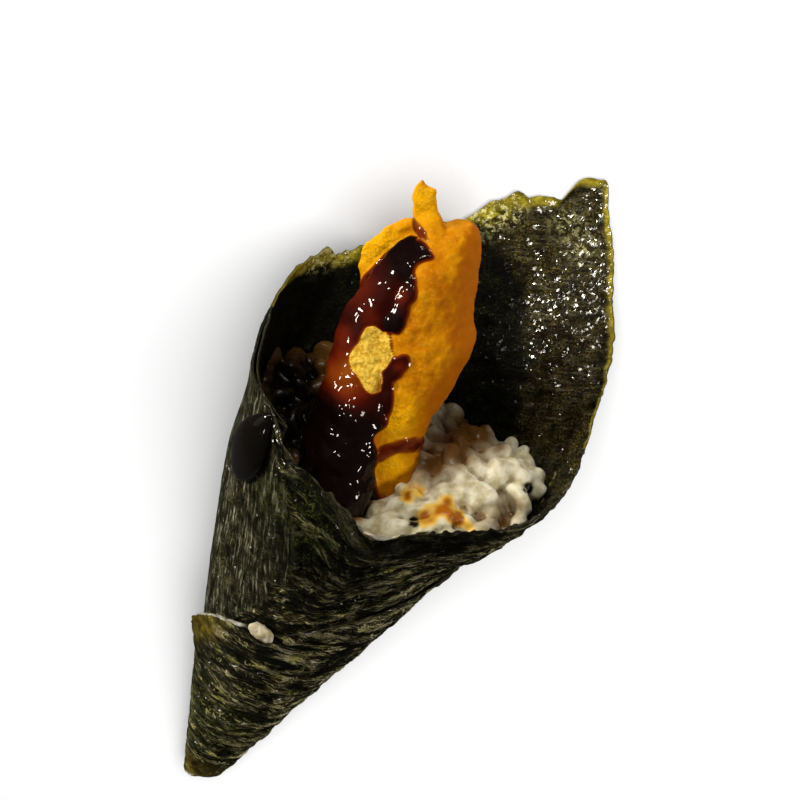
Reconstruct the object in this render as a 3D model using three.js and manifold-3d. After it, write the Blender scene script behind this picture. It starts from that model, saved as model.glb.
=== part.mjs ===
// A temaki hand roll: half a sheet of nori rolled into a cone round rice and a piece of
// tempura under dark sauce. It lies on the back of the cone, with the tip towards -Y, the
// open mouth towards +Y and the front of the roll up.
//
// Units are millimetres and +Z is up. The origin is the middle of the bounding box's base.
//
// A place on the cone's wall is a turn and a slant. The turn is in degrees round the axis,
// 0 at the back and 90 towards +X, and it keeps counting from lap to lap because the sheet
// is a spiral. The slant is the distance from the cone's apex along the wall.
// A place inside the cone is side (towards +X), back (towards the back wall) and along
// (the distance from the apex along the axis).

import * as THREE from 'three';
import { mergeVertices } from 'three/addons/utils/BufferGeometryUtils.js';
import Module from 'manifold-3d';

const { degToRad, lerp, smoothstep, clamp, euclideanModulo } = THREE.MathUtils;

// ---- the cone of nori ----
const SHEET_HEIGHT = 105; // short side of half a sheet of nori, and the front lip's slant
const HALF_ANGLE = degToRad(14.7);
const WALL = 0.6; // thickness of the sheet
const LAP_PITCH = 0.9; // each lap of the spiral lies this far outside the one before
const GAP = 0.35; // room left between neighbouring pieces
const TIP_SLANT = 16; // where the blunt tip is cut
const TIP_SKEW = 2.3; // the cut is this much further up the +X side and down the -X side
const FIRST_TURN = -150; // inner end of the sheet
const LAST_TURN = 615; // outer end of the sheet, the free flap
const TURN_STEP = 7.5;
const TRUE_TURN = 228; // the turn at which the sheet's outer face lies on the true cone
const REST_HALF = 15; // half the angle of the flat that the roll rests on
const ROWS = [0, 0.12, 0.25, 0.38, 0.5, 0.62, 0.73, 0.83, 0.9, 0.95, 1];

// The sheet's upper edge from its inner end to the flap: [turn, slant / SHEET_HEIGHT].
const RIM = [
  [-150, 1.07], [-132, 1.085], [-105, 1.1], [-91, 1.122], [-80, 1.14], [-71, 1.158],
  [-59, 1.172], [-42, 1.178], [-30, 1.21], [-15.5, 1.276], [-11, 1.318], [-4, 1.368],
  [3.5, 1.392], [8, 1.412], [12, 1.448], [15, 1.466], [20.5, 1.43], [29.5, 1.383],
  [40.5, 1.322], [51.5, 1.28], [62.5, 1.234], [78, 1.175], [95, 1.12], [108, 1.08],
  [118, 1.055], [128, 1.034], [140, 1.01], [153, 0.978], [158.5, 0.95], [165, 0.955],
  [178, 0.997], [191, 1.02], [204, 1.033], [213.5, 1.07], [222.5, 1.088], [256, 1.085],
  [285, 1.105], [308, 1.12], [340, 1.06], [405, 0.97], [455, 0.875], [468, 0.838],
  [480, 0.808], [506.5, 0.742], [523.5, 0.68], [543, 0.64], [554, 0.63], [575, 0.59],
  [595, 0.543], [615, 0.49],
];

const CREASE_HEIGHT = 0.05; // ridge down the front left, as a share of the wall's radius
const CREASE_REACH = 24; // degrees from the ridge to where it dies out
const LIP_CURL = 1.2; // the front lip leans in by this much
const LIP_DEPTH = 7; // over this length of wall
const TIP_TUCK = 0.9; // the laps are drawn in by this much at the tip
const TUCK_REACH = 50;
// The mouth is flatter on the left and fuller on the front right: the middle turn, the
// degrees to either side and the height of each swell, as a share of the wall's radius.
const SWELLS = [
  { turn: -100, reach: 38, height: -0.05 },
  { turn: 108, reach: 38, height: 0.11 },
];
const SWELL_START = 0.85; // the swells and the crease grow from this share of the height
const BOW = 2.2; // the cone's axis bows towards -X by this much
const BOW_START = 24;
const BOW_END = 160;
const FLAP_LIFT = 1.6; // how far the flap's free corner stands off
const FLAP_REACH = 9; // length of the lifted corner

// ---- the filling ----
const RICE_BOTTOM = 24; // along the axis
const RICE_LEVEL = 0.95 * SHEET_HEIGHT; // along the axis, where the rice isn't heaped
const CORE_DEPTH = 1.4; // how far the bare core lies under the grains' level
const CORE_ROWS = [0, 0.45, 0.76, 0.88, 1]; // up its side, closer where the wall swells
const GRAIN_COUNT = 84;
const GRAIN_HALF_LENGTH = 3.4;
const GRAIN_HALF_WIDTH = 1.6;
// Heaps and dips of the rice: side, back, height and spread of each.
const HEAPS = [
  { side: 21, back: -1, height: 9, spread: 11 },
  { side: -17, back: 12, height: 2, spread: 8 },
  { side: -3, back: -16, height: -6, spread: 9 },
];

// The tempura's middle line from the end in the rice to the tail: side, back, along,
// half width and half depth. Its section has an edge at the front, back, left and right,
// as keen as the edge number is above 1, and its batter is rough by the height of the crag.
const TEMPURA = {
  edge: 1.3,
  crag: 0.5,
  rings: 20,
  sides: 28,
  rows: [
    [3, -5, 84, 5, 5],
    [2, -5, 95, 6.5, 6.5],
    [-1, -3, 105, 7.8, 7.5],
    [-4.6, 0, 114.5, 9.4, 8.4],
    [-7.3, 3, 122.5, 10.6, 8.6],
    [-9.6, 5, 129, 11, 8.2],
    [-11, 7, 134.5, 10.8, 7],
    [-12, 8, 138.8, 9.6, 5.2],
  ],
};
// The thick sauce on it, in the same terms: it runs down the front left from the tail and
// pools by the front lip.
const SAUCE = {
  edge: 1,
  crag: 0.2,
  rings: 14,
  sides: 18,
  rows: [
    [-5, -15.5, 94, 6, 5],
    [-8, -10.5, 103, 7, 6],
    [-10.6, -5, 111, 6.2, 5],
    [-12.8, -1.2, 120, 5.4, 4.2],
    [-13, 0.4, 129, 4.8, 3.6],
    [-10, 1.5, 137, 4, 3],
  ],
};
const CRAG_WAVE = 7; // spacing of the bumps in the batter and the sauce
// Batter that stands off the tempura, from one end to the other: the spike, and the fin.
const SPURS = [
  { from: [-12, 7.5, 134], to: [-18, 8, 145], radius: 2.4 },
  { from: [-15, 10, 119], to: [-18.6, 10, 133], radius: 4.2 },
];

// ---- the sauce drip outside on the left, and the grain caught under the flap ----
const DRIP = { turn: 221, slant: 103.5, halfLength: 10, halfWidth: 5, height: 2, lean: 0.25 };
const CAUGHT_GRAIN = { turn: 545, above: 1.6, halfLength: 2.7, halfWidth: 1.2 };

// ---- the cone's own frame: the flat at the back lies level ----
const TILT = Math.atan(Math.tan(HALF_ANGLE) * Math.cos(degToRad(REST_HALF)));
const SIDE = new THREE.Vector3(1, 0, 0);
const ALONG = new THREE.Vector3(0, Math.cos(TILT), Math.sin(TILT));
const BACK = new THREE.Vector3(0, Math.sin(TILT), -Math.cos(TILT));
const DOWN = new THREE.Vector3(0, 0, -1);

const wasm = await Module();
wasm.setup();

// A seeded random number generator.
function seededRandom(seed) {
  let state = seed;
  return () => {
    state = (state + 0x6d2b79f5) | 0;
    let mixed = Math.imul(state ^ (state >>> 15), 1 | state);
    mixed = (mixed + Math.imul(mixed ^ (mixed >>> 7), 61 | mixed)) ^ mixed;
    return ((mixed ^ (mixed >>> 14)) >>> 0) / 4294967296;
  };
}

// A smooth curve through rows of numbers in rising order of their first one.
function smoothThrough(rows, x, column) {
  const last = rows.length - 1;
  const k = clamp(rows.findIndex((row) => row[0] > x) - 1, 0, last - 1);
  const start = x >= rows[last][0] ? last - 1 : k;
  const slope = (n) => {
    const before = rows[Math.max(n - 1, 0)];
    const after = rows[Math.min(n + 1, last)];
    return (after[column] - before[column]) / (after[0] - before[0]);
  };
  const [a, b] = [rows[start], rows[start + 1]];
  const width = b[0] - a[0];
  const t = clamp((x - a[0]) / width, 0, 1);
  const bend = t * t * (3 - 2 * t);
  const leave = t * (1 - t) * (1 - t) * width * slope(start);
  const arrive = t * t * (1 - t) * width * slope(start + 1);
  return lerp(a[column], b[column], bend) + leave - arrive;
}

// A turn brought back to between -180 and 180.
function withinLap(turn) {
  return euclideanModulo(turn + 180, 360) - 180;
}

function inCone(side, back, along) {
  const point = new THREE.Vector3();
  point.addScaledVector(SIDE, side);
  point.addScaledVector(BACK, back);
  return point.addScaledVector(ALONG, along);
}

// ---- the wall ----

function rimSlant(turn) {
  return SHEET_HEIGHT * smoothThrough(RIM, turn, 1);
}

function tipSlant(turn) {
  return TIP_SLANT + TIP_SKEW * Math.sin(degToRad(turn));
}

// The wall's distance from the axis as a share of the true cone's: the flat at the back,
// and near the mouth the swells and a ridge that turns to the front as it runs down.
function roundness(turn, slant) {
  const around = withinLap(turn);
  if (Math.abs(around) <= REST_HALF) {
    return Math.cos(degToRad(REST_HALF)) / Math.cos(degToRad(around));
  }
  const away = (middle, reach) => Math.min(1, Math.abs(withinLap(turn - middle)) / reach);
  const ridge = -143 - 1.2 * (SHEET_HEIGHT - slant);
  const crease = CREASE_HEIGHT * (1 - away(ridge, CREASE_REACH));
  const swells = SWELLS.map(({ turn: middle, reach, height }) => (
    height * (1 - away(middle, reach) ** 2) ** 2
  ));
  const strength = smoothstep(slant, SWELL_START * SHEET_HEIGHT, SHEET_HEIGHT);
  return 1 + strength * swells.reduce((sum, swell) => sum + swell, crease);
}

function axisBow(slant) {
  const phase = (slant - BOW_START) / (BOW_END - BOW_START);
  return phase < 1 ? -BOW * Math.sin(Math.PI * phase) : 0;
}

function wallPoint(turn, slant) {
  const radius = slant * Math.sin(HALF_ANGLE) * roundness(turn, slant);
  const angle = degToRad(turn);
  const side = radius * Math.sin(angle) + axisBow(slant);
  return inCone(side, radius * Math.cos(angle), slant * Math.cos(HALF_ANGLE));
}

function wallNormal(turn, slant) {
  if (Math.abs(withinLap(turn)) <= REST_HALF) return DOWN.clone();
  const step = 0.5;
  const across = wallPoint(turn + step, slant).sub(wallPoint(turn - step, slant));
  const up = wallPoint(turn, slant + step).sub(wallPoint(turn, slant - step));
  return up.cross(across).normalize();
}

// How far the spiral has wound out at a turn. It stands still across the flat.
function spiralLift(turn) {
  const lap = Math.round(turn / 360) * 360;
  const past = turn - lap;
  const wound = Math.max(0, Math.abs(past) - REST_HALF) * 180 / (180 - REST_HALF);
  return LAP_PITCH * (lap + Math.sign(past) * wound - TRUE_TURN) / 360;
}

// Where the sheet's outer face stands, measured out from the true cone.
function sheetLift(turn, slant) {
  const tuck = TIP_TUCK * Math.max(0, 1 - (slant - TIP_SLANT) / TUCK_REACH);
  const belowRim = Math.max(0, rimSlant(turn) - slant);
  const lipSpan = smoothstep(turn, 108, 135) * (1 - smoothstep(turn, 170, 196));
  const curl = LIP_CURL * lipSpan * Math.max(0, 1 - belowRim / LIP_DEPTH) ** 2;
  const cornerSpan = smoothstep(turn, LAST_TURN - 32, LAST_TURN - 4);
  const corner = FLAP_LIFT * cornerSpan * Math.max(0, 1 - belowRim / FLAP_REACH) ** 1.5;
  return spiralLift(turn) - tuck - curl + corner;
}

function onSheet(turn, slant, lift) {
  const point = wallPoint(turn, slant);
  return point.addScaledVector(wallNormal(turn, slant), sheetLift(turn, slant) + lift);
}

// ---- closed meshes ----

function meshGeometry(points, indices) {
  const geometry = new THREE.BufferGeometry();
  const values = points.flatMap((point) => [point.x, point.y, point.z]);
  geometry.setAttribute('position', new THREE.Float32BufferAttribute(values, 3));
  geometry.setIndex(indices);
  return geometry;
}

function addQuad(indices, a, b, c, d) {
  indices.push(a, b, c, a, c, d);
}

// A closed solid whose skin runs from a first point over rings of points to a last point.
function closedRings(first, rings, last) {
  const sides = rings[0].length;
  const points = [first, ...rings.flat(), last];
  const indices = [];
  const at = (ring, k) => 1 + ring * sides + (k % sides);
  for (let k = 0; k < sides; k += 1) {
    indices.push(0, at(0, k), at(0, k + 1));
    indices.push(points.length - 1, at(rings.length - 1, k + 1), at(rings.length - 1, k));
    for (let ring = 0; ring + 1 < rings.length; ring += 1) {
      addQuad(indices, at(ring, k), at(ring + 1, k), at(ring + 1, k + 1), at(ring, k + 1));
    }
  }
  return meshGeometry(points, indices);
}

function toSolid(geometry) {
  const bare = geometry.clone();
  bare.deleteAttribute('normal');
  bare.deleteAttribute('uv');
  const merged = mergeVertices(bare, 1e-4);
  return new wasm.Manifold(new wasm.Mesh({
    numProp: 3,
    vertProperties: new Float32Array(merged.attributes.position.array),
    triVerts: new Uint32Array(merged.index.array),
  }));
}

// The largest body of a solid: scraps that a cut leaves loose are dropped.
function largestBody(solid) {
  return solid.decompose().reduce((best, body) => (body.volume() > best.volume() ? body : best));
}

function toGeometry(solid) {
  const mesh = solid.getMesh();
  const points = [];
  for (let k = 0; k < mesh.numVert; k += 1) {
    points.push(new THREE.Vector3(...mesh.vertProperties.slice(k * mesh.numProp, k * mesh.numProp + 3)));
  }
  return meshGeometry(points, [...mesh.triVerts]);
}

// An ellipsoid about a middle point, longest along a direction.
function bead(ball, middle, direction, halfLength, halfWidth, halfDepth = halfWidth) {
  const shape = ball.clone();
  shape.scale(halfWidth, halfLength, halfDepth);
  const turn = new THREE.Quaternion();
  turn.setFromUnitVectors(new THREE.Vector3(0, 1, 0), direction.clone().normalize());
  shape.applyQuaternion(turn);
  return shape.translate(middle.x, middle.y, middle.z);
}

function moveVertices(geometry, move) {
  const places = geometry.attributes.position;
  const point = new THREE.Vector3();
  for (let k = 0; k < places.count; k += 1) {
    point.fromBufferAttribute(places, k);
    move(point);
    places.setXYZ(k, point.x, point.y, point.z);
  }
  return geometry;
}

// ---- the nori sheet ----

function noriSheet() {
  const faces = [[], []];
  const columns = Math.round((LAST_TURN - FIRST_TURN) / TURN_STEP) + 1;
  const rows = ROWS.length;
  for (let i = 0; i < columns; i += 1) {
    const turn = FIRST_TURN + i * TURN_STEP;
    for (const share of ROWS) {
      const slant = lerp(tipSlant(turn), rimSlant(turn), share);
      faces[0].push(onSheet(turn, slant, 0));
      faces[1].push(onSheet(turn, slant, -WALL));
    }
  }
  const indices = [];
  const outer = (i, j) => i * rows + j;
  const inner = (i, j) => (columns + i) * rows + j;
  for (let i = 0; i + 1 < columns; i += 1) {
    for (let j = 0; j + 1 < rows; j += 1) {
      addQuad(indices, outer(i, j), outer(i, j + 1), outer(i + 1, j + 1), outer(i + 1, j));
      addQuad(indices, inner(i, j), inner(i + 1, j), inner(i + 1, j + 1), inner(i, j + 1));
    }
    addQuad(indices, outer(i, 0), outer(i + 1, 0), inner(i + 1, 0), inner(i, 0));
    const top = rows - 1;
    addQuad(indices, outer(i, top), inner(i, top), inner(i + 1, top), outer(i + 1, top));
  }
  const end = columns - 1;
  for (let j = 0; j + 1 < rows; j += 1) {
    addQuad(indices, outer(0, j), inner(0, j), inner(0, j + 1), outer(0, j + 1));
    addQuad(indices, outer(end, j), outer(end, j + 1), inner(end, j + 1), inner(end, j));
  }
  return meshGeometry(faces.flat(), indices);
}

// ---- room inside the cone ----

// The turn of the innermost lap that is met at an angle round the axis.
function innerTurn(angle) {
  return euclideanModulo(angle - FIRST_TURN, 360) + FIRST_TURN;
}

// How far from the bowed axis the filling may reach. Close before the sheet's inner end it
// draws in, to pass under that end.
function fillingRadius(angle, along) {
  const turn = innerTurn(angle);
  const slant = along / Math.cos(HALF_ANGLE);
  const start = FIRST_TURN + 360;
  const under = smoothstep(turn, start - 22.5, start - 7.5);
  const wall = lerp(sheetLift(turn, slant), sheetLift(FIRST_TURN, slant), under);
  const straight = along * Math.tan(HALF_ANGLE) * roundness(turn, slant);
  return straight + (wall - WALL - GAP) / Math.cos(HALF_ANGLE);
}

// Presses a point back inside the filling's room.
function holdInside(point) {
  const along = point.dot(ALONG);
  const bow = axisBow(along / Math.cos(HALF_ANGLE));
  const side = point.dot(SIDE) - bow;
  const back = point.dot(BACK);
  const angle = THREE.MathUtils.radToDeg(Math.atan2(side, back));
  const limit = fillingRadius(angle, along);
  const share = Math.min(1, limit / Math.hypot(side, back));
  point.copy(inCone(side * share + bow, back * share, along));
}

// ---- the tempura ----

function sumOfWaves(random, wave) {
  const waves = Array.from({ length: 7 }, () => ({
    way: new THREE.Vector3(random() - 0.5, random() - 0.5, random() - 0.5).normalize(),
    phase: random() * 2 * Math.PI,
    rate: 2 * Math.PI / (wave * lerp(0.7, 1.5, random())),
  }));
  return (point) => waves.reduce(
    (sum, { way, phase, rate }) => sum + Math.sin(point.dot(way) * rate + phase), 0,
  ) / 3;
}

const cragAt = sumOfWaves(seededRandom(11), CRAG_WAVE);

// A bumpy body with round ends along a row of places, its skin set out by some margin.
function sweptBody(body, margin) {
  const line = new THREE.CatmullRomCurve3(body.rows.map((row) => inCone(...row.slice(0, 3))));
  const sizes = body.rows.map((row, k) => [k / (body.rows.length - 1), row[3], row[4]]);
  const keen = (share) => Math.sign(share) * Math.abs(share) ** body.edge;
  const rings = [];
  for (let ring = 0; ring <= body.rings; ring += 1) {
    const t = (1 - Math.cos(Math.PI * lerp(0.06, 0.94, ring / body.rings))) / 2;
    const middle = line.getPoint(t);
    const ahead = line.getTangent(t);
    const across = BACK.clone().cross(ahead).normalize();
    const deep = across.clone().cross(ahead);
    const rounding = Math.sqrt(1 - Math.abs(2 * t - 1) ** 8);
    const halfWidth = smoothThrough(sizes, t, 1) * rounding;
    const halfDepth = smoothThrough(sizes, t, 2) * rounding;
    rings.push(Array.from({ length: body.sides }, (_, k) => {
      const angle = 2 * Math.PI * k / body.sides;
      const out = across.clone().multiplyScalar(halfWidth * keen(Math.cos(angle)));
      out.addScaledVector(deep, halfDepth * keen(Math.sin(angle)));
      const point = middle.clone().add(out);
      return point.addScaledVector(out.normalize(), body.crag * cragAt(point) + margin);
    }));
  }
  const first = line.getPoint(0).addScaledVector(line.getTangent(0), -margin);
  const last = line.getPoint(1).addScaledVector(line.getTangent(1), margin);
  return closedRings(first, rings, last);
}

function spur(from, to, radius, margin) {
  const start = inCone(...from);
  const end = inCone(...to);
  const direction = end.clone().sub(start);
  const ball = new THREE.IcosahedronGeometry(1, 2);
  const half = direction.length() / 2 + margin;
  return bead(ball, start.lerp(end, 0.5), direction, half, radius + margin);
}

// The tempura with what is fused to it. With a margin it is the room it needs.
function tempuraSolid(margin) {
  const pieces = [
    sweptBody(TEMPURA, margin),
    sweptBody(SAUCE, margin),
    ...SPURS.map(({ from, to, radius }) => spur(from, to, radius, margin)),
  ];
  const held = margin > 0 ? pieces : pieces.map((piece) => moveVertices(piece, holdInside));
  return held.map(toSolid).reduce((sum, piece) => sum.add(piece));
}

// ---- the rice ----

function riceLevel(side, back) {
  return HEAPS.reduce((level, heap) => {
    const away = (side - heap.side) ** 2 + (back - heap.back) ** 2;
    return level + heap.height * Math.exp(-away / (2 * heap.spread ** 2));
  }, RICE_LEVEL);
}

// The bare core: up the wall from its foot, then in over the heaped top.
function riceCore() {
  const sides = 24;
  const topRows = 3;
  const rings = Array.from({ length: CORE_ROWS.length + topRows }, () => []);
  for (let k = 0; k < sides; k += 1) {
    const angle = 360 * k / sides;
    const way = degToRad(angle);
    const place = (radius, along) => {
      const bow = axisBow(along / Math.cos(HALF_ANGLE));
      return inCone(radius * Math.sin(way) + bow, radius * Math.cos(way), along);
    };
    const reach = fillingRadius(angle, RICE_LEVEL);
    const brim = riceLevel(reach * Math.sin(way), reach * Math.cos(way)) - CORE_DEPTH;
    CORE_ROWS.forEach((share, row) => {
      const along = lerp(RICE_BOTTOM, brim, share);
      rings[row].push(place(fillingRadius(angle, along), along));
    });
    for (let row = 1; row <= topRows; row += 1) {
      const radius = fillingRadius(angle, brim) * (1 - row / (topRows + 1));
      const level = riceLevel(radius * Math.sin(way), radius * Math.cos(way)) - CORE_DEPTH;
      rings[CORE_ROWS.length + row - 1].push(place(radius, level));
    }
  }
  return closedRings(inCone(0, 0, RICE_BOTTOM), rings, inCone(0, 0, riceLevel(0, 0) - CORE_DEPTH));
}

// Grains lie in a sunflower pattern over the top, each turned and tipped at random.
function riceGrains() {
  const random = seededRandom(5);
  const ball = new THREE.SphereGeometry(1, 5, 4);
  const mouth = RICE_LEVEL * Math.tan(HALF_ANGLE);
  const goldenTurn = Math.PI * (3 - Math.sqrt(5));
  const grains = [];
  for (let k = 0; k < GRAIN_COUNT; k += 1) {
    const radius = mouth * Math.sqrt((k + 0.5) / GRAIN_COUNT) + lerp(-0.8, 0.8, random());
    const angle = goldenTurn * k;
    const side = radius * Math.sin(angle);
    const back = radius * Math.cos(angle);
    const heading = random() * 2 * Math.PI;
    const tip = lerp(-0.35, 0.55, random());
    const size = lerp(0.88, 1.12, random());
    const sunk = lerp(0.2, 1.2, random());
    const middle = inCone(side, back, riceLevel(side, back) - sunk);
    const direction = inCone(Math.cos(heading), Math.sin(heading), tip);
    const grain = bead(ball, middle, direction, GRAIN_HALF_LENGTH * size, GRAIN_HALF_WIDTH * size);
    grains.push(moveVertices(grain, holdInside));
  }
  return grains;
}

function riceHeap() {
  const heap = riceGrains().map(toSolid).reduce((sum, grain) => sum.add(grain), toSolid(riceCore()));
  return toGeometry(largestBody(heap.subtract(tempuraSolid(GAP))));
}

// ---- small pieces on the outside ----

// A drop of sauce that hangs on the wall, widest at its lower end.
function sauceDrip() {
  const around = 20;
  const degreesAcross = 1 / (DRIP.slant * Math.sin(HALF_ANGLE) * degToRad(1));
  const place = (share, k, lift) => {
    const angle = 2 * Math.PI * k / around;
    const down = share * DRIP.halfLength * Math.cos(angle);
    const narrow = 1 - 0.5 * smoothstep(-down, -DRIP.halfLength / 2, DRIP.halfLength);
    const across = share * DRIP.halfWidth * narrow * Math.sin(angle) + DRIP.lean * down;
    return onSheet(DRIP.turn + across * degreesAcross, DRIP.slant - down, lift);
  };
  const ring = (share, lift) => Array.from({ length: around }, (_, k) => place(share, k, lift));
  const domed = (share) => ring(share, GAP + 0.3 + DRIP.height * Math.sqrt(1 - share * share));
  const rings = [ring(0.5, GAP), ring(0.92, GAP), domed(0.99), domed(0.9), domed(0.7), domed(0.4)];
  return closedRings(place(0, 0, GAP), rings, place(0, 0, GAP + 0.3 + DRIP.height));
}

function caughtGrain() {
  const { turn, above, halfLength, halfWidth } = CAUGHT_GRAIN;
  const under = turn - 360;
  const slant = rimSlant(turn) + above;
  const middle = onSheet(under, slant, halfWidth + GAP);
  const direction = onSheet(under + 2, slant, 0).sub(onSheet(under - 2, slant, 0));
  return bead(new THREE.SphereGeometry(1, 8, 6), middle, direction, halfLength, halfWidth);
}

// ---- the whole roll ----

function named(name, geometry, color, roughness) {
  const material = new THREE.MeshStandardMaterial({ color, roughness, metalness: 0 });
  const mesh = new THREE.Mesh(geometry, material);
  mesh.name = name;
  return mesh;
}

const roll = new THREE.Group();
roll.add(named('nori_sheet', noriSheet(), 0x22271a, 0.45));
roll.add(named('rice', riceHeap(), 0xd8cfb4, 0.5));
roll.add(named('tempura', toGeometry(tempuraSolid(0)), 0xb86a10, 0.5));
roll.add(named('sauce_drip', sauceDrip(), 0x120a06, 0.1));
roll.add(named('caught_grain', caughtGrain(), 0xd8cfb4, 0.5));

const bounds = new THREE.Box3().setFromObject(roll);
const middle = bounds.getCenter(new THREE.Vector3());
roll.position.set(-middle.x, -middle.y, -bounds.min.z);
roll.updateMatrixWorld(true);

export default roll;
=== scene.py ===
"""The looks of a temaki hand roll: nori, rice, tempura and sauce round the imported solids.

Forms are worked out in millimetres in the roll's own frame, where a place on the cone's wall
is a turn (degrees round the axis, 0 at the back, counting on from lap to lap) and a slant
(distance from the apex along the wall), and a place inside is side, back and along.
build_mesh takes them to metres in the part's frame.
"""

import itertools

import bpy
import numpy as np
from mathutils import Matrix, Vector


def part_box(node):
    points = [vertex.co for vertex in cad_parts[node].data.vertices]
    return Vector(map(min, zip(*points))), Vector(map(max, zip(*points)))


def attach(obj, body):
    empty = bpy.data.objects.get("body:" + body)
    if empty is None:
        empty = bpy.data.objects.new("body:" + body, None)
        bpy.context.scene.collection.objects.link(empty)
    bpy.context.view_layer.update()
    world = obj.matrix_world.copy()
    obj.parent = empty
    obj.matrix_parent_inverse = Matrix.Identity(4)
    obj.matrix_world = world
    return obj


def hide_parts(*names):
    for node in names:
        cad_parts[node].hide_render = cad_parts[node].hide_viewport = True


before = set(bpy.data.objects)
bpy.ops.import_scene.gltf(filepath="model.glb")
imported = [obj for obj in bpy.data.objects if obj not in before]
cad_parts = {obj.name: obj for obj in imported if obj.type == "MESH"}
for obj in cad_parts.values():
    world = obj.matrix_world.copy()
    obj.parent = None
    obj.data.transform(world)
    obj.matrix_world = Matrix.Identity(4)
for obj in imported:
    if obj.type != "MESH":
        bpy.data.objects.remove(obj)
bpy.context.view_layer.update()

# ---- the cone of nori, as in the solids ----
SHEET_HEIGHT = 105.0
HALF_ANGLE = np.radians(14.7)
WALL = 0.6
LAP_PITCH = 0.9
GAP = 0.35
TIP_SLANT = 16.0
TIP_SKEW = 2.3
FIRST_TURN = -150.0
LAST_TURN = 615.0
TRUE_TURN = 228.0
REST_HALF = 15.0
RIM = [
    (-150, 1.07), (-132, 1.085), (-105, 1.1), (-91, 1.122), (-80, 1.14), (-71, 1.158),
    (-59, 1.172), (-42, 1.178), (-30, 1.21), (-15.5, 1.276), (-11, 1.318), (-4, 1.368),
    (3.5, 1.392), (8, 1.412), (12, 1.448), (15, 1.466), (20.5, 1.43), (29.5, 1.383),
    (40.5, 1.322), (51.5, 1.28), (62.5, 1.234), (78, 1.175), (95, 1.12), (108, 1.08),
    (118, 1.055), (128, 1.034), (140, 1.01), (153, 0.978), (158.5, 0.95), (165, 0.955),
    (178, 0.997), (191, 1.02), (204, 1.033), (213.5, 1.07), (222.5, 1.088), (256, 1.085),
    (285, 1.105), (308, 1.12), (340, 1.06), (405, 0.97), (455, 0.875), (468, 0.838),
    (480, 0.808), (506.5, 0.742), (523.5, 0.68), (543, 0.64), (554, 0.63), (575, 0.59),
    (595, 0.543), (615, 0.49),
]
CREASE_TURN = -143  # where the crease in the lip starts from the rim
CREASE_LEAN = 1.2  # degrees for each millimetre
CREASE_HEIGHT = 0.05
CREASE_REACH = 24.0
LIP_SPAN = (108, 135, 170, 196)
LIP_CURL = 1.2
LIP_DEPTH = 7.0
TIP_TUCK = 0.9
TUCK_REACH = 50.0
SWELLS = [(-100, 38, -0.05), (108, 38, 0.11)]
SWELL_START = 0.85
BOW = 2.2
BOW_START = 24.0
BOW_END = 160.0
FLAP_SPAN = (LAST_TURN - 32, LAST_TURN - 4)
FLAP_LIFT = 1.6
FLAP_REACH = 9.0

TILT = np.arctan(np.tan(HALF_ANGLE) * np.cos(np.radians(REST_HALF)))
SIDE = np.array([1.0, 0.0, 0.0])
ALONG = np.array([0.0, np.cos(TILT), np.sin(TILT)])
BACK = np.array([0.0, np.sin(TILT), -np.cos(TILT)])


def rise(x, low, high):
    """A smooth step from 0 at the low end to 1 at the high end."""
    t = np.clip((x - low) / (high - low), 0, 1)
    return t * t * (3 - 2 * t)


def fall(x, low, high):
    return 1 - rise(x, low, high)


def between(x, foot, top, edge, end):
    """A smooth step up from foot to top and down again from edge to end."""
    return rise(x, foot, top) * fall(x, edge, end)


def bell(away, reach):
    return np.exp(-(away / reach) ** 2)


def lerp(a, b, t):
    return a + (b - a) * t


def curve(rows, x):
    """A smooth curve through rows of two numbers in rising order of their first one."""
    xs, ys = np.array(rows, float).T
    before = np.maximum(np.arange(len(xs)) - 1, 0)
    after = np.minimum(np.arange(len(xs)) + 1, len(xs) - 1)
    slopes = (ys[after] - ys[before]) / (xs[after] - xs[before])
    k = np.clip(np.searchsorted(xs, x, side="right") - 1, 0, len(xs) - 2)
    width = xs[k + 1] - xs[k]
    t = np.clip((x - xs[k]) / width, 0, 1)
    leave = t * (1 - t) ** 2 * width * slopes[k]
    arrive = t * t * (1 - t) * width * slopes[k + 1]
    return lerp(ys[k], ys[k + 1], t * t * (3 - 2 * t)) + leave - arrive


def within_lap(turn):
    return np.mod(turn + 180, 360) - 180


def in_cone(side, back, along):
    parts = [np.asarray(value, float)[..., None] for value in (side, back, along)]
    return parts[0] * SIDE + parts[1] * BACK + parts[2] * ALONG


def unit(vectors):
    return vectors / np.linalg.norm(vectors, axis=-1, keepdims=True)


def noise(places, seed):
    """Gradient noise from about -1 to 1 at places in the plane or in space."""
    random = np.random.default_rng(seed)
    shuffled = random.permutation(256)
    slopes = unit(random.normal(size=(256, places.shape[-1])))
    cell = np.floor(places).astype(int)
    inside = places - cell
    fade = inside ** 3 * (inside * (inside * 6 - 15) + 10)
    total = 0.0
    for corner in itertools.product((0, 1), repeat=places.shape[-1]):
        key = 0
        share = 1.0
        for axis, step in enumerate(corner):
            key = shuffled[(key + cell[..., axis] + step) & 255]
            share = share * (fade[..., axis] if step else 1 - fade[..., axis])
        total = total + share * (slopes[key] * (inside - corner)).sum(-1)
    return 1.6 * total


def rough_noise(places, seed, octaves):
    """Noise with ever finer detail."""
    return sum(noise(places * 2 ** k, seed + k) / 2 ** k for k in range(octaves))


# ---- the wall ----

def rim_slant(turn):
    return SHEET_HEIGHT * curve(RIM, turn)


def tip_slant(turn):
    return TIP_SLANT + TIP_SKEW * np.sin(np.radians(turn))


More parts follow.
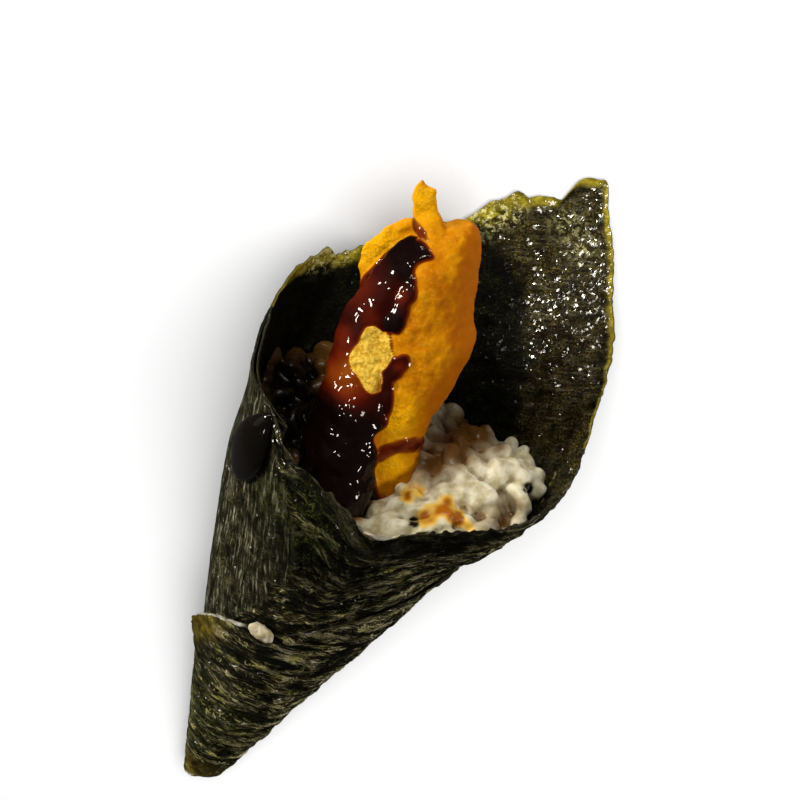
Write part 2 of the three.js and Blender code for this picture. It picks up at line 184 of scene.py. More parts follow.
def roundness(turn, slant):
    """The wall's distance from the axis as a share of the true cone's."""
    around = within_lap(turn)

    def away(middle, reach):
        return np.minimum(1, np.abs(within_lap(turn - middle)) / reach)

    ridge = CREASE_TURN - CREASE_LEAN * (SHEET_HEIGHT - slant)
    total = CREASE_HEIGHT * (1 - away(ridge, CREASE_REACH))
    for middle, reach, height in SWELLS:
        total = total + height * (1 - away(middle, reach) ** 2) ** 2
    strength = rise(slant, SWELL_START * SHEET_HEIGHT, SHEET_HEIGHT)
    flat = np.cos(np.radians(REST_HALF)) / np.cos(np.radians(around))
    return np.where(np.abs(around) <= REST_HALF, flat, 1 + strength * total)


def axis_bow(slant):
    phase = np.clip((slant - BOW_START) / (BOW_END - BOW_START), None, 1)
    return -BOW * np.sin(np.pi * phase)


def wall_point(turn, slant):
    radius = slant * np.sin(HALF_ANGLE) * roundness(turn, slant)
    angle = np.radians(turn)
    side = radius * np.sin(angle) + axis_bow(slant)
    return in_cone(side, radius * np.cos(angle), slant * np.cos(HALF_ANGLE))


def wall_normal(turn, slant):
    step = 0.5
    across = wall_point(turn + step, slant) - wall_point(turn - step, slant)
    up = wall_point(turn, slant + step) - wall_point(turn, slant - step)
    normal = unit(np.cross(up, across))
    flat = np.abs(within_lap(turn)) <= REST_HALF
    return np.where(flat[..., None], np.array([0.0, 0.0, -1.0]), normal)


def spiral_lift(turn):
    lap = np.round(turn / 360) * 360
    past = turn - lap
    wound = np.maximum(0, np.abs(past) - REST_HALF) * 180 / (180 - REST_HALF)
    return LAP_PITCH * (lap + np.sign(past) * wound - TRUE_TURN) / 360


def sheet_lift(turn, slant):
    """Where the sheet's outer face stands, measured out from the true cone."""
    tuck = TIP_TUCK * np.maximum(0, 1 - (slant - TIP_SLANT) / TUCK_REACH)
    below_rim = np.maximum(0, rim_slant(turn) - slant)
    curl = LIP_CURL * between(turn, *LIP_SPAN) * np.maximum(0, 1 - below_rim / LIP_DEPTH) ** 2
    free = FLAP_LIFT * rise(turn, *FLAP_SPAN)
    corner = free * np.maximum(0, 1 - below_rim / FLAP_REACH) ** 1.5
    return spiral_lift(turn) - tuck - curl + corner


def on_sheet(turn, slant, lift):
    turn, slant = np.broadcast_arrays(np.asarray(turn, float), np.asarray(slant, float))
    out = np.asarray(sheet_lift(turn, slant) + lift)[..., None]
    return wall_point(turn, slant) + wall_normal(turn, slant) * out


def find_shift():
    """From the roll's own frame to the part's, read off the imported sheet's box."""
    turn = np.arange(FIRST_TURN, LAST_TURN + 1, 7.5)[:, None]
    share = np.linspace(0, 1, 21)[None, :]
    slant = lerp(tip_slant(turn), rim_slant(turn), share)
    places = on_sheet(turn, slant, 0.0).reshape(-1, 3)
    low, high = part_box("nori_sheet")
    middle = np.array((low + high) / 2) * 1000
    return middle - (places.min(0) + places.max(0)) / 2


SHIFT = find_shift()


# ---- meshes ----

def add_object(name, data):
    thing = bpy.data.objects.new(name, data)
    bpy.context.scene.collection.objects.link(thing)
    return thing


def build_mesh(name, points, faces, material, layers=None, sharp_angle=None):
    """A smooth piece from points in millimetres, with named layers of values on its points."""
    mesh = bpy.data.meshes.new(name)
    mesh.from_pydata((np.asarray(points) + SHIFT) / 1000, [], faces)
    mesh.validate()
    mesh.shade_smooth()
    if sharp_angle:
        mesh.set_sharp_from_angle(angle=np.radians(sharp_angle))
    for layer, values in (layers or {}).items():
        attribute = mesh.attributes.new(layer, "FLOAT_VECTOR", "POINT")
        attribute.data.foreach_set("vector", np.ascontiguousarray(values, np.float32).ravel())
    mesh.materials.append(material)
    return add_object(name, mesh)


# ---- materials ----

class Paint:
    """A node material that is put together by short calls, each giving an output socket."""

    def __init__(self, name):
        self.material = bpy.data.materials.new(name)
        self.material.use_nodes = True
        self.tree = self.material.node_tree
        self.shader = self.tree.nodes["Principled BSDF"]

    def add(self, kind, inputs=None, output=0, **settings):
        node = self.tree.nodes.new(kind)
        for key, value in settings.items():
            setattr(node, key, value)
        for key, value in (inputs or {}).items():
            self.feed(node.inputs[key], value)
        return node.outputs[output]

    def feed(self, socket, value):
        if isinstance(value, bpy.types.NodeSocket):
            self.tree.links.new(value, socket)
        elif isinstance(value, tuple) and socket.type == "RGBA":
            socket.default_value = (*value, 1)[:4]
        else:
            socket.default_value = value

    def surface(self, **inputs):
        for key, value in inputs.items():
            self.feed(self.shader.inputs[key.replace("_", " ")], value)

    def layer(self, name):
        return self.add("ShaderNodeAttribute", attribute_name=name, output="Vector")

    def parts(self, vector):
        split = self.add("ShaderNodeSeparateXYZ", {"Vector": vector}).node
        return split.outputs["X"], split.outputs["Y"], split.outputs["Z"]

    def stretch(self, vector, scale):
        return self.add("ShaderNodeMapping", {"Vector": vector, "Scale": scale})

    def noise(self, vector, scale, detail=3.0, rough=0.5, twist=0.0):
        inputs = {"Vector": vector, "Scale": scale, "Detail": detail, "Roughness": rough}
        inputs["Distortion"] = twist
        return self.add("ShaderNodeTexNoise", inputs, output="Fac")

    def vector(self, kind, a, b):
        return self.add("ShaderNodeVectorMath", {0: a, 1: b}, operation=kind)

    def facets(self, vector, scale, tilt):
        """A normal for small flat facets, each tilted its own way."""
        large, small = (
            self.add("ShaderNodeTexVoronoi", {"Vector": vector, "Scale": size}, output="Color")
            for size in (scale, scale * 2.2)
        )
        lean = self.vector("SUBTRACT", self.vector("ADD", large, small), (1.0, 1.0, 1.0))
        lean = self.add("ShaderNodeVectorMath", {0: lean, 3: tilt}, operation="SCALE")
        straight = self.add("ShaderNodeNewGeometry", output="Normal")
        return self.vector("NORMALIZE", self.vector("ADD", straight, lean), (0, 0, 0))

    def warp(self, vector, scale, reach):
        """A vector moved about by a slow noise, so far along each axis."""
        push = self.add("ShaderNodeTexNoise", {"Vector": vector, "Scale": scale}, output="Color")
        return self.vector("ADD", vector, self.vector("MULTIPLY", push, reach))

    def threads(self, vector, scale, width, detail, twist):
        """Thin lines where a noise passes through its middle: 1 on a line, 0 away from it."""
        field = self.noise(vector, scale, detail=detail, twist=twist)
        return self.span(self.math("ABSOLUTE", self.math("SUBTRACT", field, 0.5)), width, 0.0)

    def times(self, a, b):
        return self.math("MULTIPLY", a, b)

    def math(self, kind, a, b=0.0, c=0.0):
        return self.add("ShaderNodeMath", {0: a, 1: b, 2: c}, operation=kind)

    def span(self, value, low, high, to_low=0.0, to_high=1.0):
        inputs = {"Value": value, "From Min": low, "From Max": high, "To Min": to_low,
                  "To Max": to_high}
        return self.add("ShaderNodeMapRange", inputs)

    def mix(self, share, a, b, blend="MIX"):
        inputs = {"Factor": share, 6: a, 7: b}
        return self.add("ShaderNodeMix", inputs, output=2, data_type="RGBA", blend_type=blend)

    def ramp(self, value, stops):
        node = self.add("ShaderNodeValToRGB", {"Fac": value}).node
        places = node.color_ramp.elements
        while len(places) < len(stops):
            places.new(0.5)
        for place, (where, color) in zip(places, stops):
            place.position = where
            place.color = (*color, 1)
        return node.outputs["Color"]

    def bump(self, height, distance, strength):
        inputs = {"Height": height, "Distance": distance, "Strength": strength}
        return self.add("ShaderNodeBump", inputs, output="Normal")


def plain(name, **inputs):
    paint = Paint(name)
    paint.surface(**inputs)
    return paint.material


# ---- camera, floor and lights ----
PHOTO_SIZE = 800
SENSOR = 36.0
LENS = 85.0
PIXELS_PER_UNIT = PHOTO_SIZE / SENSOR * LENS
APEX_DEPTH = 381.6
APEX_PIXEL = (173, 813)
CAMERA_HEIGHT = np.radians(60)  # of the line of sight over the cone's axis
CAMERA_ROLL = np.radians(30.25)
LAMP_COLOR = (1.0, 0.94, 0.82)
LIT_MIDDLE = (0, 0, 0.02)  # metres: the place that the lamps point at
FLOOR_HALF = 3.0  # metres
SKY_STRENGTH = 0.04


def camera_axes():
    """The camera's right, up and backward directions."""
    height = CAMERA_HEIGHT + TILT
    back = np.array([0, np.cos(height), np.sin(height)])
    flat_up = unit(ALONG - back * (ALONG @ back))
    flat_right = np.cross(flat_up, back)
    up = flat_up * np.cos(CAMERA_ROLL) - flat_right * np.sin(CAMERA_ROLL)
    right = flat_up * np.sin(CAMERA_ROLL) + flat_right * np.cos(CAMERA_ROLL)
    return right, up, back


def slopes(across, down):
    """How steeply the camera's sight through a pixel runs to the right and up."""
    x = (np.asarray(across, float) - PHOTO_SIZE / 2) / PIXELS_PER_UNIT
    y = (PHOTO_SIZE / 2 - np.asarray(down, float)) / PIXELS_PER_UNIT
    return x, y


def camera_place():
    """Where the camera is, so that it sees the cone's apex at its pixel."""
    x, y = slopes(*APEX_PIXEL)
    return BEHIND * APEX_DEPTH - RIGHT * (x * APEX_DEPTH) - UP * (y * APEX_DEPTH)


CAMERA_AXES = RIGHT, UP, BEHIND = camera_axes()
CAMERA_PLACE = camera_place()


def make_camera():
    data = bpy.data.cameras.new("camera")
    data.lens = LENS
    data.sensor_width = SENSOR
    data.clip_start = 0.01
    camera = add_object("camera", data)
    turned = Matrix(CAMERA_AXES).transposed().to_4x4()
    camera.matrix_world = Matrix.Translation((CAMERA_PLACE + SHIFT) / 1000) @ turned
    bpy.context.scene.camera = camera


def make_light(name, direction, distance, size, power, color=LAMP_COLOR):
    """A round area light at a direction given along the camera's right, up and back."""
    way = Vector(unit(np.array(direction) @ np.array(CAMERA_AXES)))
    data = bpy.data.lights.new(name, "AREA")
    data.shape = "DISK"
    data.size = size
    data.energy = power
    data.color = color
    lamp = add_object(name, data)
    lamp.location = Vector(LIT_MIDDLE) + way * distance
    lamp.rotation_mode = "QUATERNION"
    lamp.rotation_quaternion = way.to_track_quat("Z", "Y")
    return lamp


def make_floor():
    mesh = bpy.data.meshes.new("floor")
    far = FLOOR_HALF
    corners = [(-far, -far, 0), (far, -far, 0), (far, far, 0), (-far, far, 0)]
    mesh.from_pydata(corners, [], [(0, 1, 2, 3)])
    mesh.materials.append(plain("floor", Base_Color=(0.88, 0.88, 0.88), Roughness=0.9))
    floor = add_object("floor", mesh)
    floor.visible_glossy = False  # so that no white table shows in the sauce and the nori
    return floor


def light_up(rows, pieces, state="INCLUDE"):
    """Lamps that light only some pieces, or with EXCLUDE all but those."""
    lit = bpy.data.collections.new(state.lower() + " " + pieces[0].name)
    for piece in pieces:
        lit.objects.link(piece)
        lit.collection_objects[-1].light_linking.link_state = state
    for row in rows:
        make_light(*row).light_linking.receiver_collection = lit


def make_world():
    world = bpy.data.worlds.new("studio")
    world.use_nodes = True
    background = world.node_tree.nodes["Background"]
    background.inputs["Color"].default_value = (1, 1, 1, 1)
    background.inputs["Strength"].default_value = SKY_STRENGTH
    bpy.context.scene.world = world
    bpy.context.scene.view_settings.view_transform = "Standard"


# Lights: name, direction, distance, size, power and at times colour.
ROLL_LIGHTS = [
    ("key", (-1.0, 0.35, 0.5), 1.1, 0.2, 10), ("lamp", (-0.5, 0.75, 0.9), 1.2, 0.1, 3.5),
    ("right", (1.0, -0.3, 0.6), 1.1, 0.16, 4.5), ("top", (0.1, 1.0, 1.1), 1.2, 0.2, 3.5),
]
NORI_LIGHTS = [
    ("gleam", (-1.0, 0.4, 0.15), 1.1, 0.3, 5), ("back", (1.0, 0.8, 1.2), 1.1, 0.3, 5),
]
DROP_LIGHTS = [
    ("panel", (-1.0, 0.2, 0.3), 0.9, 0.8, 0.5), ("glint", (-0.4, -0.8, 0.45), 1.0, 0.07, 0.4),
]
FLOOR_LIGHTS = [("floor_light", (0.1, -0.1, 1.0), 1.5, 1.4, 33, (1, 1, 1))]

make_camera()
floor = make_floor()
light_up(FLOOR_LIGHTS, [floor])
light_up(ROLL_LIGHTS, [floor], "EXCLUDE")
make_world()

# ---- the nori's surface ----
FIBRE_TURN = 250.0  # the fibres run straight up the wall at this turn
NORI_THICKNESS = 0.42
FRONT_SPAN = (60, 90, 235, 290)  # turns at which the wrinkles run round the roll
LOWER_SPAN = (405, 435)  # and where they do so on the flap
PANEL_END = (290, 330)
# the lip's band of painted shade, in turns
SHADED_LIP = (105, 125, 195, 212)
GLEAMING_LIP = (158, 170, 208, 220)
# the turns of the painted highlight along the flap's edge
EDGE_GLINT_SPAN = (552, 558, 596, 600)
RELIEF = 0.5  # height of the deepest wrinkles
HIDDEN_RELIEF = 0.2  # share of the relief that is left where the next lap covers the sheet
WRINKLES = [
    (-150, 0.5), (-60, 0.5), (0, 0.8), (60, 0.8), (105, 1), (150, 1), (230, 1), (290, 0.4),
    (340, 0.7), (430, 0.9), (480, 1), (560, 0.9), (600, 0.6), (615, 0.5),
]
CREASE = [  # slant, turn
    (50, 262), (55, 244), (62, 215), (70, 195), (84, 184), (95, 190), (105, 205), (115, 222),
]
RAGS = [  # turn, size in millimetres of what the rim has lost
    (-150, 0.3), (-80, 0.5), (-66, 0.7), (-42, 0.7), (-25, 0.5), (15, 0.25), (30, 0.3),
    (100, 0.3), (120, 0.25), (200, 0.2), (420, 0.2), (590, 0.25), (604, 0.6), (615, 0.7),
]
TEARS = np.array([  # turn, millimetres above the smooth rim
    (-75, 0), (-69.5, -0.6), (-60.5, -0.5), (-57.5, 1), (-54, -0.3), (-51.5, -1.3), (-47, -0.1),
    (-41.5, 0.6), (-30, 0.2), (-18.5, 0.9), (-15.5, 0), (-14, -1.3), (-11, -1.2), (-9, 0),
    (-5.5, -0.4), (-4, 0.9), (-2, 0.2), (0, -0.8), (2, 0), (6, -0.3), (8.4, -1.6), (9.2, 2.6),
    (11, 2.2), (13.5, 0.3), (18, 0.3), (23, 0), (597, 0), (602, -0.9), (605, -0.4), (611, -2),
    (615, -2.3),
]).T
LIT_THROUGH_RIM = [  # turn, reach in millimetres of the pale olive rim, a painted glow of light through the thin sheet
    (-150, 0), (-95, 0), (-82, 0.8), (-70, 2.8), (-40, 3.6), (-20, 3.8), (-8, 5), (6, 2.5),
    (15, 1.8), (50, 1.6), (63, 0.8), (76, 0.2), (90, 0), (300, 0), (330, 0.6), (420, 0.6),
    (440, 0.2), (470, 0), (585, 0), (600, 1.5), (615, 4),
]
# spots inside the rim that gleam by their coat and by a painted pale sheen
GLOWS = [  # turn, slant, size, strength
    (-8, 138, 3, 1), (-2, 141, 2.5, 0.7), (-62, 121.5, 2, 1.2), (-56, 122, 2, 1.2),
    (-48, 122.5, 1.6, 0.8), (-36, 124, 1.6, 0.8), (14, 144, 3, 0.4), (22, 142, 2.5, 0.4),
    (-20, 131, 2, 0.7),
]
SHADED = [(178, 93, 14, 11, 0.6), (194, 101, 5, 9, 0.5)]  # turn, slant, width, height, core
SHADED_FLAP = (565, 600)
GREEN_PATCHES = [(187, 99, 7), (208, 97, 4), (500, 30, 8), (560, 40, 7), (590, 32, 6)]


def flat_place(turn, slant):
    """Where a place lies on the sheet laid flat: along its fibres and across them."""
    angle = np.radians(turn - FIBRE_TURN) * np.sin(HALF_ANGLE)
    return slant * np.cos(angle), slant * np.sin(angle)


def arc_from(turn, slant, start):
    """How far round the wall a place is from a turn, in millimetres."""
    return np.radians(turn - start) * slant * np.sin(HALF_ANGLE)


def away_from(turn, slant, middle, low, wide=1, high=1):
    """How far a place is from a spot on the wall, as a share of the spot's width and height."""
    return np.hypot(arc_from(turn, slant, middle) / wide, (slant - low) / high)


def line_place(turn, slant):
    """Where a place lies along and across the wrinkles: they run round the roll, between the
    lip and the flap's edge, and elsewhere in the sheet's flat direction."""
    along, across = flat_place(turn, slant)
    seam = rim_slant(np.minimum(turn + 360, LAST_TURN))
    level = 30 * (slant - seam) / np.maximum(1, rim_slant(turn) - seam)
    arc = arc_from(turn, slant, FIBRE_TURN)
    front = between(turn, *FRONT_SPAN)
    flap = rise(turn, *LOWER_SPAN)
    along = lerp(lerp(along, -arc, front), arc, flap)
    across = lerp(lerp(across, -62 - level, front), slant, flap)
    return along, across


def stack(*parts):
    return np.stack(np.broadcast_arrays(*parts), -1)


def past_crease(turn, slant):
    """How many degrees a place lies past the crease beside the smooth panel."""
    return turn - curve(CREASE, slant)


def wrinkled(turn, slant):
    """How strongly the sheet is wrinkled: least on the smooth panel at the front left."""
    panel = rise(past_crease(turn, slant), -3, 3) * fall(turn, *PANEL_END)
    return lerp(curve(WRINKLES, turn), 0.1, panel)


def covered(turn, slant):
    """1 where the next lap lies over the sheet, 0 where the sheet shows outside."""
    over = turn + 360
    edge = rim_slant(np.minimum(over, LAST_TURN))
    share = fall(slant, edge - 0.8, edge + 0.8)
    return np.where(over <= LAST_TURN, share, fall(over, LAST_TURN, LAST_TURN + 2))


def nori_relief(turn, slant, inside):
    """Wrinkles, fibres and slow waves of the surface, from about -1 to 1."""
    flat_along, flat_across = flat_place(turn, slant)
    along, across = (flat_along, flat_across) if inside else line_place(turn, slant)
    across = across + 1.6 * noise(stack(along / 14, across / 8), 21)
    wide = 3.2 * np.abs(noise(stack(along / 13, across / 3.1), 22)) - 1
    fine = 1 - 3 * np.abs(noise(stack(along / 6, across / 1.5), 23))
    short = 1 - 3 * np.abs(noise(stack(along / 3, across / 1.1), 26))
    waves = noise(stack(flat_along / 11, flat_across / 8), 24)
    grain = noise(stack(flat_along / 2.5, flat_across / 0.8), 25)
    deep = wrinkled(turn, slant) ** 1.5
    crease = bell(arc_from(past_crease(turn, slant), slant, 0), 0.6)
    crease = crease * rise(slant, 78, 90) * (abs(turn - 200) < 40)
    return deep * (0.5 * wide + 0.35 * fine + 0.2 * short) + 0.3 * waves + 0.15 * grain + crease


def worn_rim(turn):
    """How far the rim is worn or torn away from its smooth line."""
    arc = arc_from(turn, rim_slant(turn), 0)
    wide = noise(stack(arc / 2.2, 0 * arc), 31)
    fine = noise(stack(arc / 0.8, 0 * arc), 32)
    return curve(RAGS, turn) * (0.8 * wide + 0.4 * fine) + np.interp(turn, *TEARS)


def painted_shade_outside(turn, slant, edge):
    """Painted shade on the lip, on the shaded front below it and on the left part of the flap."""
    painted_shade = between(turn, *SHADED_LIP) * fall(edge, 2, 8)
    painted_shade = np.maximum(painted_shade, 0.6 * rise(turn, *SHADED_FLAP) * rise(slant, 30, 40))
    for *spot, core in SHADED:
        painted_shade = np.maximum(painted_shade, 0.7 * fall(away_from(turn, slant, *spot), core, 1.3))
    return painted_shade


def painted_shade_inside(turn, slant):
    """Painted shade over all of the inside but its right part, which the light reaches."""
    lit_start = 26 + 1.6 * (124 - slant)
    far = arc_from(turn, slant, lit_start) / 3 + 0.5 * noise(stack(turn / 9, slant / 4), 35)
    lit = rise(far, -1, 1) + rise(slant + 0.25 * turn, 132, 138)
    return 1 - np.minimum(1, lit) * lerp(0.5, 1, rise(slant, 110, 126))


def painted_light_and_green(turn, slant, edge, inside):
    """How strongly the sheet shows a painted glow of light through its thin edges, painted shade
    and green flecks, from 0 to 1.
    """
    # a painted glow of light through the thin sheet: along the rim, at the flap's corner and end,
    # and at the tip
    reach = np.maximum(0.01, curve(LIT_THROUGH_RIM, turn))
    rim = fall(edge, 0.3 * reach, reach) * (reach > 0.05)
    end = arc_from(LAST_TURN, slant, turn)
    corner = fall(end, 8, 16) * fall(rim_slant(turn) - slant, 4, 9)
    lit_through = np.maximum.reduce([rim, corner, 0.7 * fall(end, 0.5, 1.6), 0.8 * fall(slant, 17, 23)])
    # painted shade: one pattern inside the cone, another outside
    painted_shade = painted_shade_inside(turn, slant) if inside else painted_shade_outside(turn, slant, edge)
    green = 0.15 + sum(
        bell(away_from(turn, slant, middle, low), size) for middle, low, size in GREEN_PATCHES
    )
    return stack(lit_through, painted_shade, np.minimum(1, green))


def gleam(turn, slant, inside):
    """How much the sheet gleams, by its coat and, inside, by a painted pale sheen: behind the
    tempura's top, and along the lip's left end.
    """
    if not inside:
        return 0.5 * between(turn, *GLEAMING_LIP) * fall(rim_slant(turn) - slant, 2, 9)
    total = sum(
        strength * bell(away_from(turn, slant, middle, low), size)
        for middle, low, size, strength in GLOWS
    )
    return np.minimum(1, total * rise(noise(stack(turn / 2, slant / 1.2), 36), -0.8, 0.2))


def edge_glint_line(turn, edge):
    """A painted highlight: the bright broken line along the flap's edge at the left."""
    dashes = rise(noise(stack(turn / 5, 0 * turn), 34), -0.5, -0.1)
    return between(turn, *EDGE_GLINT_SPAN) * dashes * fall(edge, 0.2, 0.45)


# ---- the wrap as a mesh: a lattice of cells, fine where it shows ----
COLUMNS = 1024
ROWS = 192
COARSEST = 16
FRONT_CELL = 0.5  # the largest cells in millimetres, on each part of the two faces
BACK_CELL = 0.8
INNER_RIGHT_CELL = 0.55
INNER_CELL = 0.9
HIDDEN_CELL = 5.0
OPEN_TURN = (205, 215)  # where the inner face goes in under the next lap
OPEN_SLANT = (90, 95)  # and where it goes in under the rice


def lattice_place(column, row):
    """The turn and slant of a lattice point, and how far it is from the rim or the tip."""
    turn = lerp(FIRST_TURN, LAST_TURN, column / COLUMNS)
    share = row / ROWS
    low, high = tip_slant(turn), rim_slant(turn)
    nick = noise(stack(share * (high - low) / 1.6, 0 * turn), 33)
    turn = turn + 3 * nick * rise(turn, LAST_TURN - 6, LAST_TURN) * rise(share, 0.6, 0.8)
    slant = lerp(low, high, share)
    slant = slant + worn_rim(turn) * rise(share, 0.94, 1)
    slant = slant + 0.5 * worn_rim(turn / 3 + 120) * fall(share, 0, 0.05)
    return turn, slant, (high - low) * np.minimum(share, 1 - share)


def outer_fineness(turn, slant):
    front = (turn > 80) & (turn < 310) | (turn > 425)
    shown = np.where(front, FRONT_CELL, BACK_CELL)
    return np.where(covered(turn, slant) > 0.98, HIDDEN_CELL, shown)


def inner_fineness(turn, slant):
    right = (turn > -40) & (turn < 110)
    shown = (turn < OPEN_TURN[1]) & (slant > OPEN_SLANT[0])
    return np.where(shown, np.where(right, INNER_RIGHT_CELL, INNER_CELL), HIDDEN_CELL)


def halves(cells, axis):
    """Both halves of cells, cut across the columns (axis 0) or the rows (axis 1)."""
    first = cells // np.where(np.arange(4) == axis + 2, 2, 1)
    second = first.copy()
    second[:, axis] += first[:, axis + 2]
    return first, second


def split_cells(fineness):
    """Cells (column, row, columns wide, rows high), halved until they are fine enough."""
    steps = np.meshgrid(np.arange(0, COLUMNS, COARSEST), np.arange(0, ROWS, COARSEST))
    cells = stack(*steps, COARSEST, COARSEST).reshape(-1, 4)
    while True:
        column, row, wide, high = cells.T
        turn, slant, _ = lattice_place(column + wide / 2, row + high / 2)
        allowed = fineness(turn, slant)
        arc = (LAST_TURN - FIRST_TURN) / COLUMNS * np.radians(1) * slant * np.sin(HALF_ANGLE)
        climb = (rim_slant(turn) - tip_slant(turn)) / ROWS
        halve_wide = (wide * arc > allowed) & (wide > 1)
        halve_high = (high * climb > allowed) & (high > 1) & ~halve_wide
        done = ~halve_wide & ~halve_high
        if done.all():
            return cells
        new = halves(cells[halve_wide], 0) + halves(cells[halve_high], 1)
        cells = np.concatenate([cells[done], *new])


def mark_corners(cells):
    used = np.zeros((COLUMNS + 1, ROWS + 1), bool)
    column, row, wide, high = cells.T
    for across, up in itertools.product((0, 1), repeat=2):
        used[column + across * wide, row + up * high] = True
    return used


def cell_faces(cells, used, index):
    """A face for each cell, through every lattice point in use on its sides."""
    faces = []
    for column, row, wide, high in cells.tolist():
        right, top = column + wide, row + high
        ring = [(column, row + k) for k in range(high)]
        ring += [(column + k, top) for k in range(wide)]
        ring += [(right, top - k) for k in range(high)]
        ring += [(right - k, row) for k in range(wide)]
        faces.append([index[place] for place in ring if used[place]])
    return faces


def border_walk(used):
    """The lattice points in use along the rim, the ends and the tip, as one loop."""
    ring = [(0, k) for k in range(ROWS)]
    ring += [(k, ROWS) for k in range(COLUMNS)]
    ring += [(COLUMNS, ROWS - k) for k in range(ROWS)]
    ring += [(COLUMNS - k, 0) for k in range(COLUMNS)]
    return [place for place in ring if used[place]]


def nori_side(used, inside):
    """The points of one face of the sheet, and what its material has to know about them."""
    turn, slant, edge = lattice_place(*np.nonzero(used))
    relief = nori_relief(turn, slant, inside)
    lift = RELIEF * relief * lerp(1, HIDDEN_RELIEF, covered(turn, slant))
    if inside:
        lift = lift * fall(turn, *OPEN_TURN) * rise(slant, *OPEN_SLANT) - NORI_THICKNESS
    flat = flat_place(turn, slant)
    lines = flat if inside else line_place(turn, slant)
    apart = 20 * inside  # so that the pattern of one face isn't the other's
    layers = {
        "flat": stack(*flat, apart),
        "lines": stack(*lines, apart),
        "state": stack(0, relief, wrinkled(turn, slant)),
        "painted_light_and_green": painted_light_and_green(turn, slant, edge, inside),
        "place": stack(inside, edge_glint_line(turn, edge), gleam(turn, slant, inside)),
    }
    return on_sheet(turn, slant, lift), layers


def make_nori(material):
    cells = [split_cells(outer_fineness), split_cells(inner_fineness)]
    used = [mark_corners(side) for side in cells]
    shared = used[0] | used[1]
    shared[1:-1, 1:-1] = False
    points, layers, faces, index = [], [], [], []
    for inside in (0, 1):
        used[inside] |= shared
        side_points, side_layers = nori_side(used[inside], inside)
        places = np.zeros(shared.shape, int)
        places[used[inside]] = len(points) + np.arange(len(side_points))
        points += list(side_points)
        layers.append(side_layers)
        index.append(places)
        order = -1 if inside else 1
        faces += [face[::order] for face in cell_faces(cells[inside], used[inside], places)]
    outer, inner = index
    loop = border_walk(shared)
    for here, there in zip(loop, loop[1:] + loop[:1]):
        faces.append([outer[there], outer[here], inner[here], inner[there]])
    points = np.array(points)
    points[:, 2] = np.maximum(points[:, 2], -SHIFT[2])  # nothing reaches below the floor
    layers = {name: np.concatenate([side[name] for side in layers]) for name in layers[0]}
    return build_mesh("nori_wrap", points, faces, material, layers, sharp_angle=60)


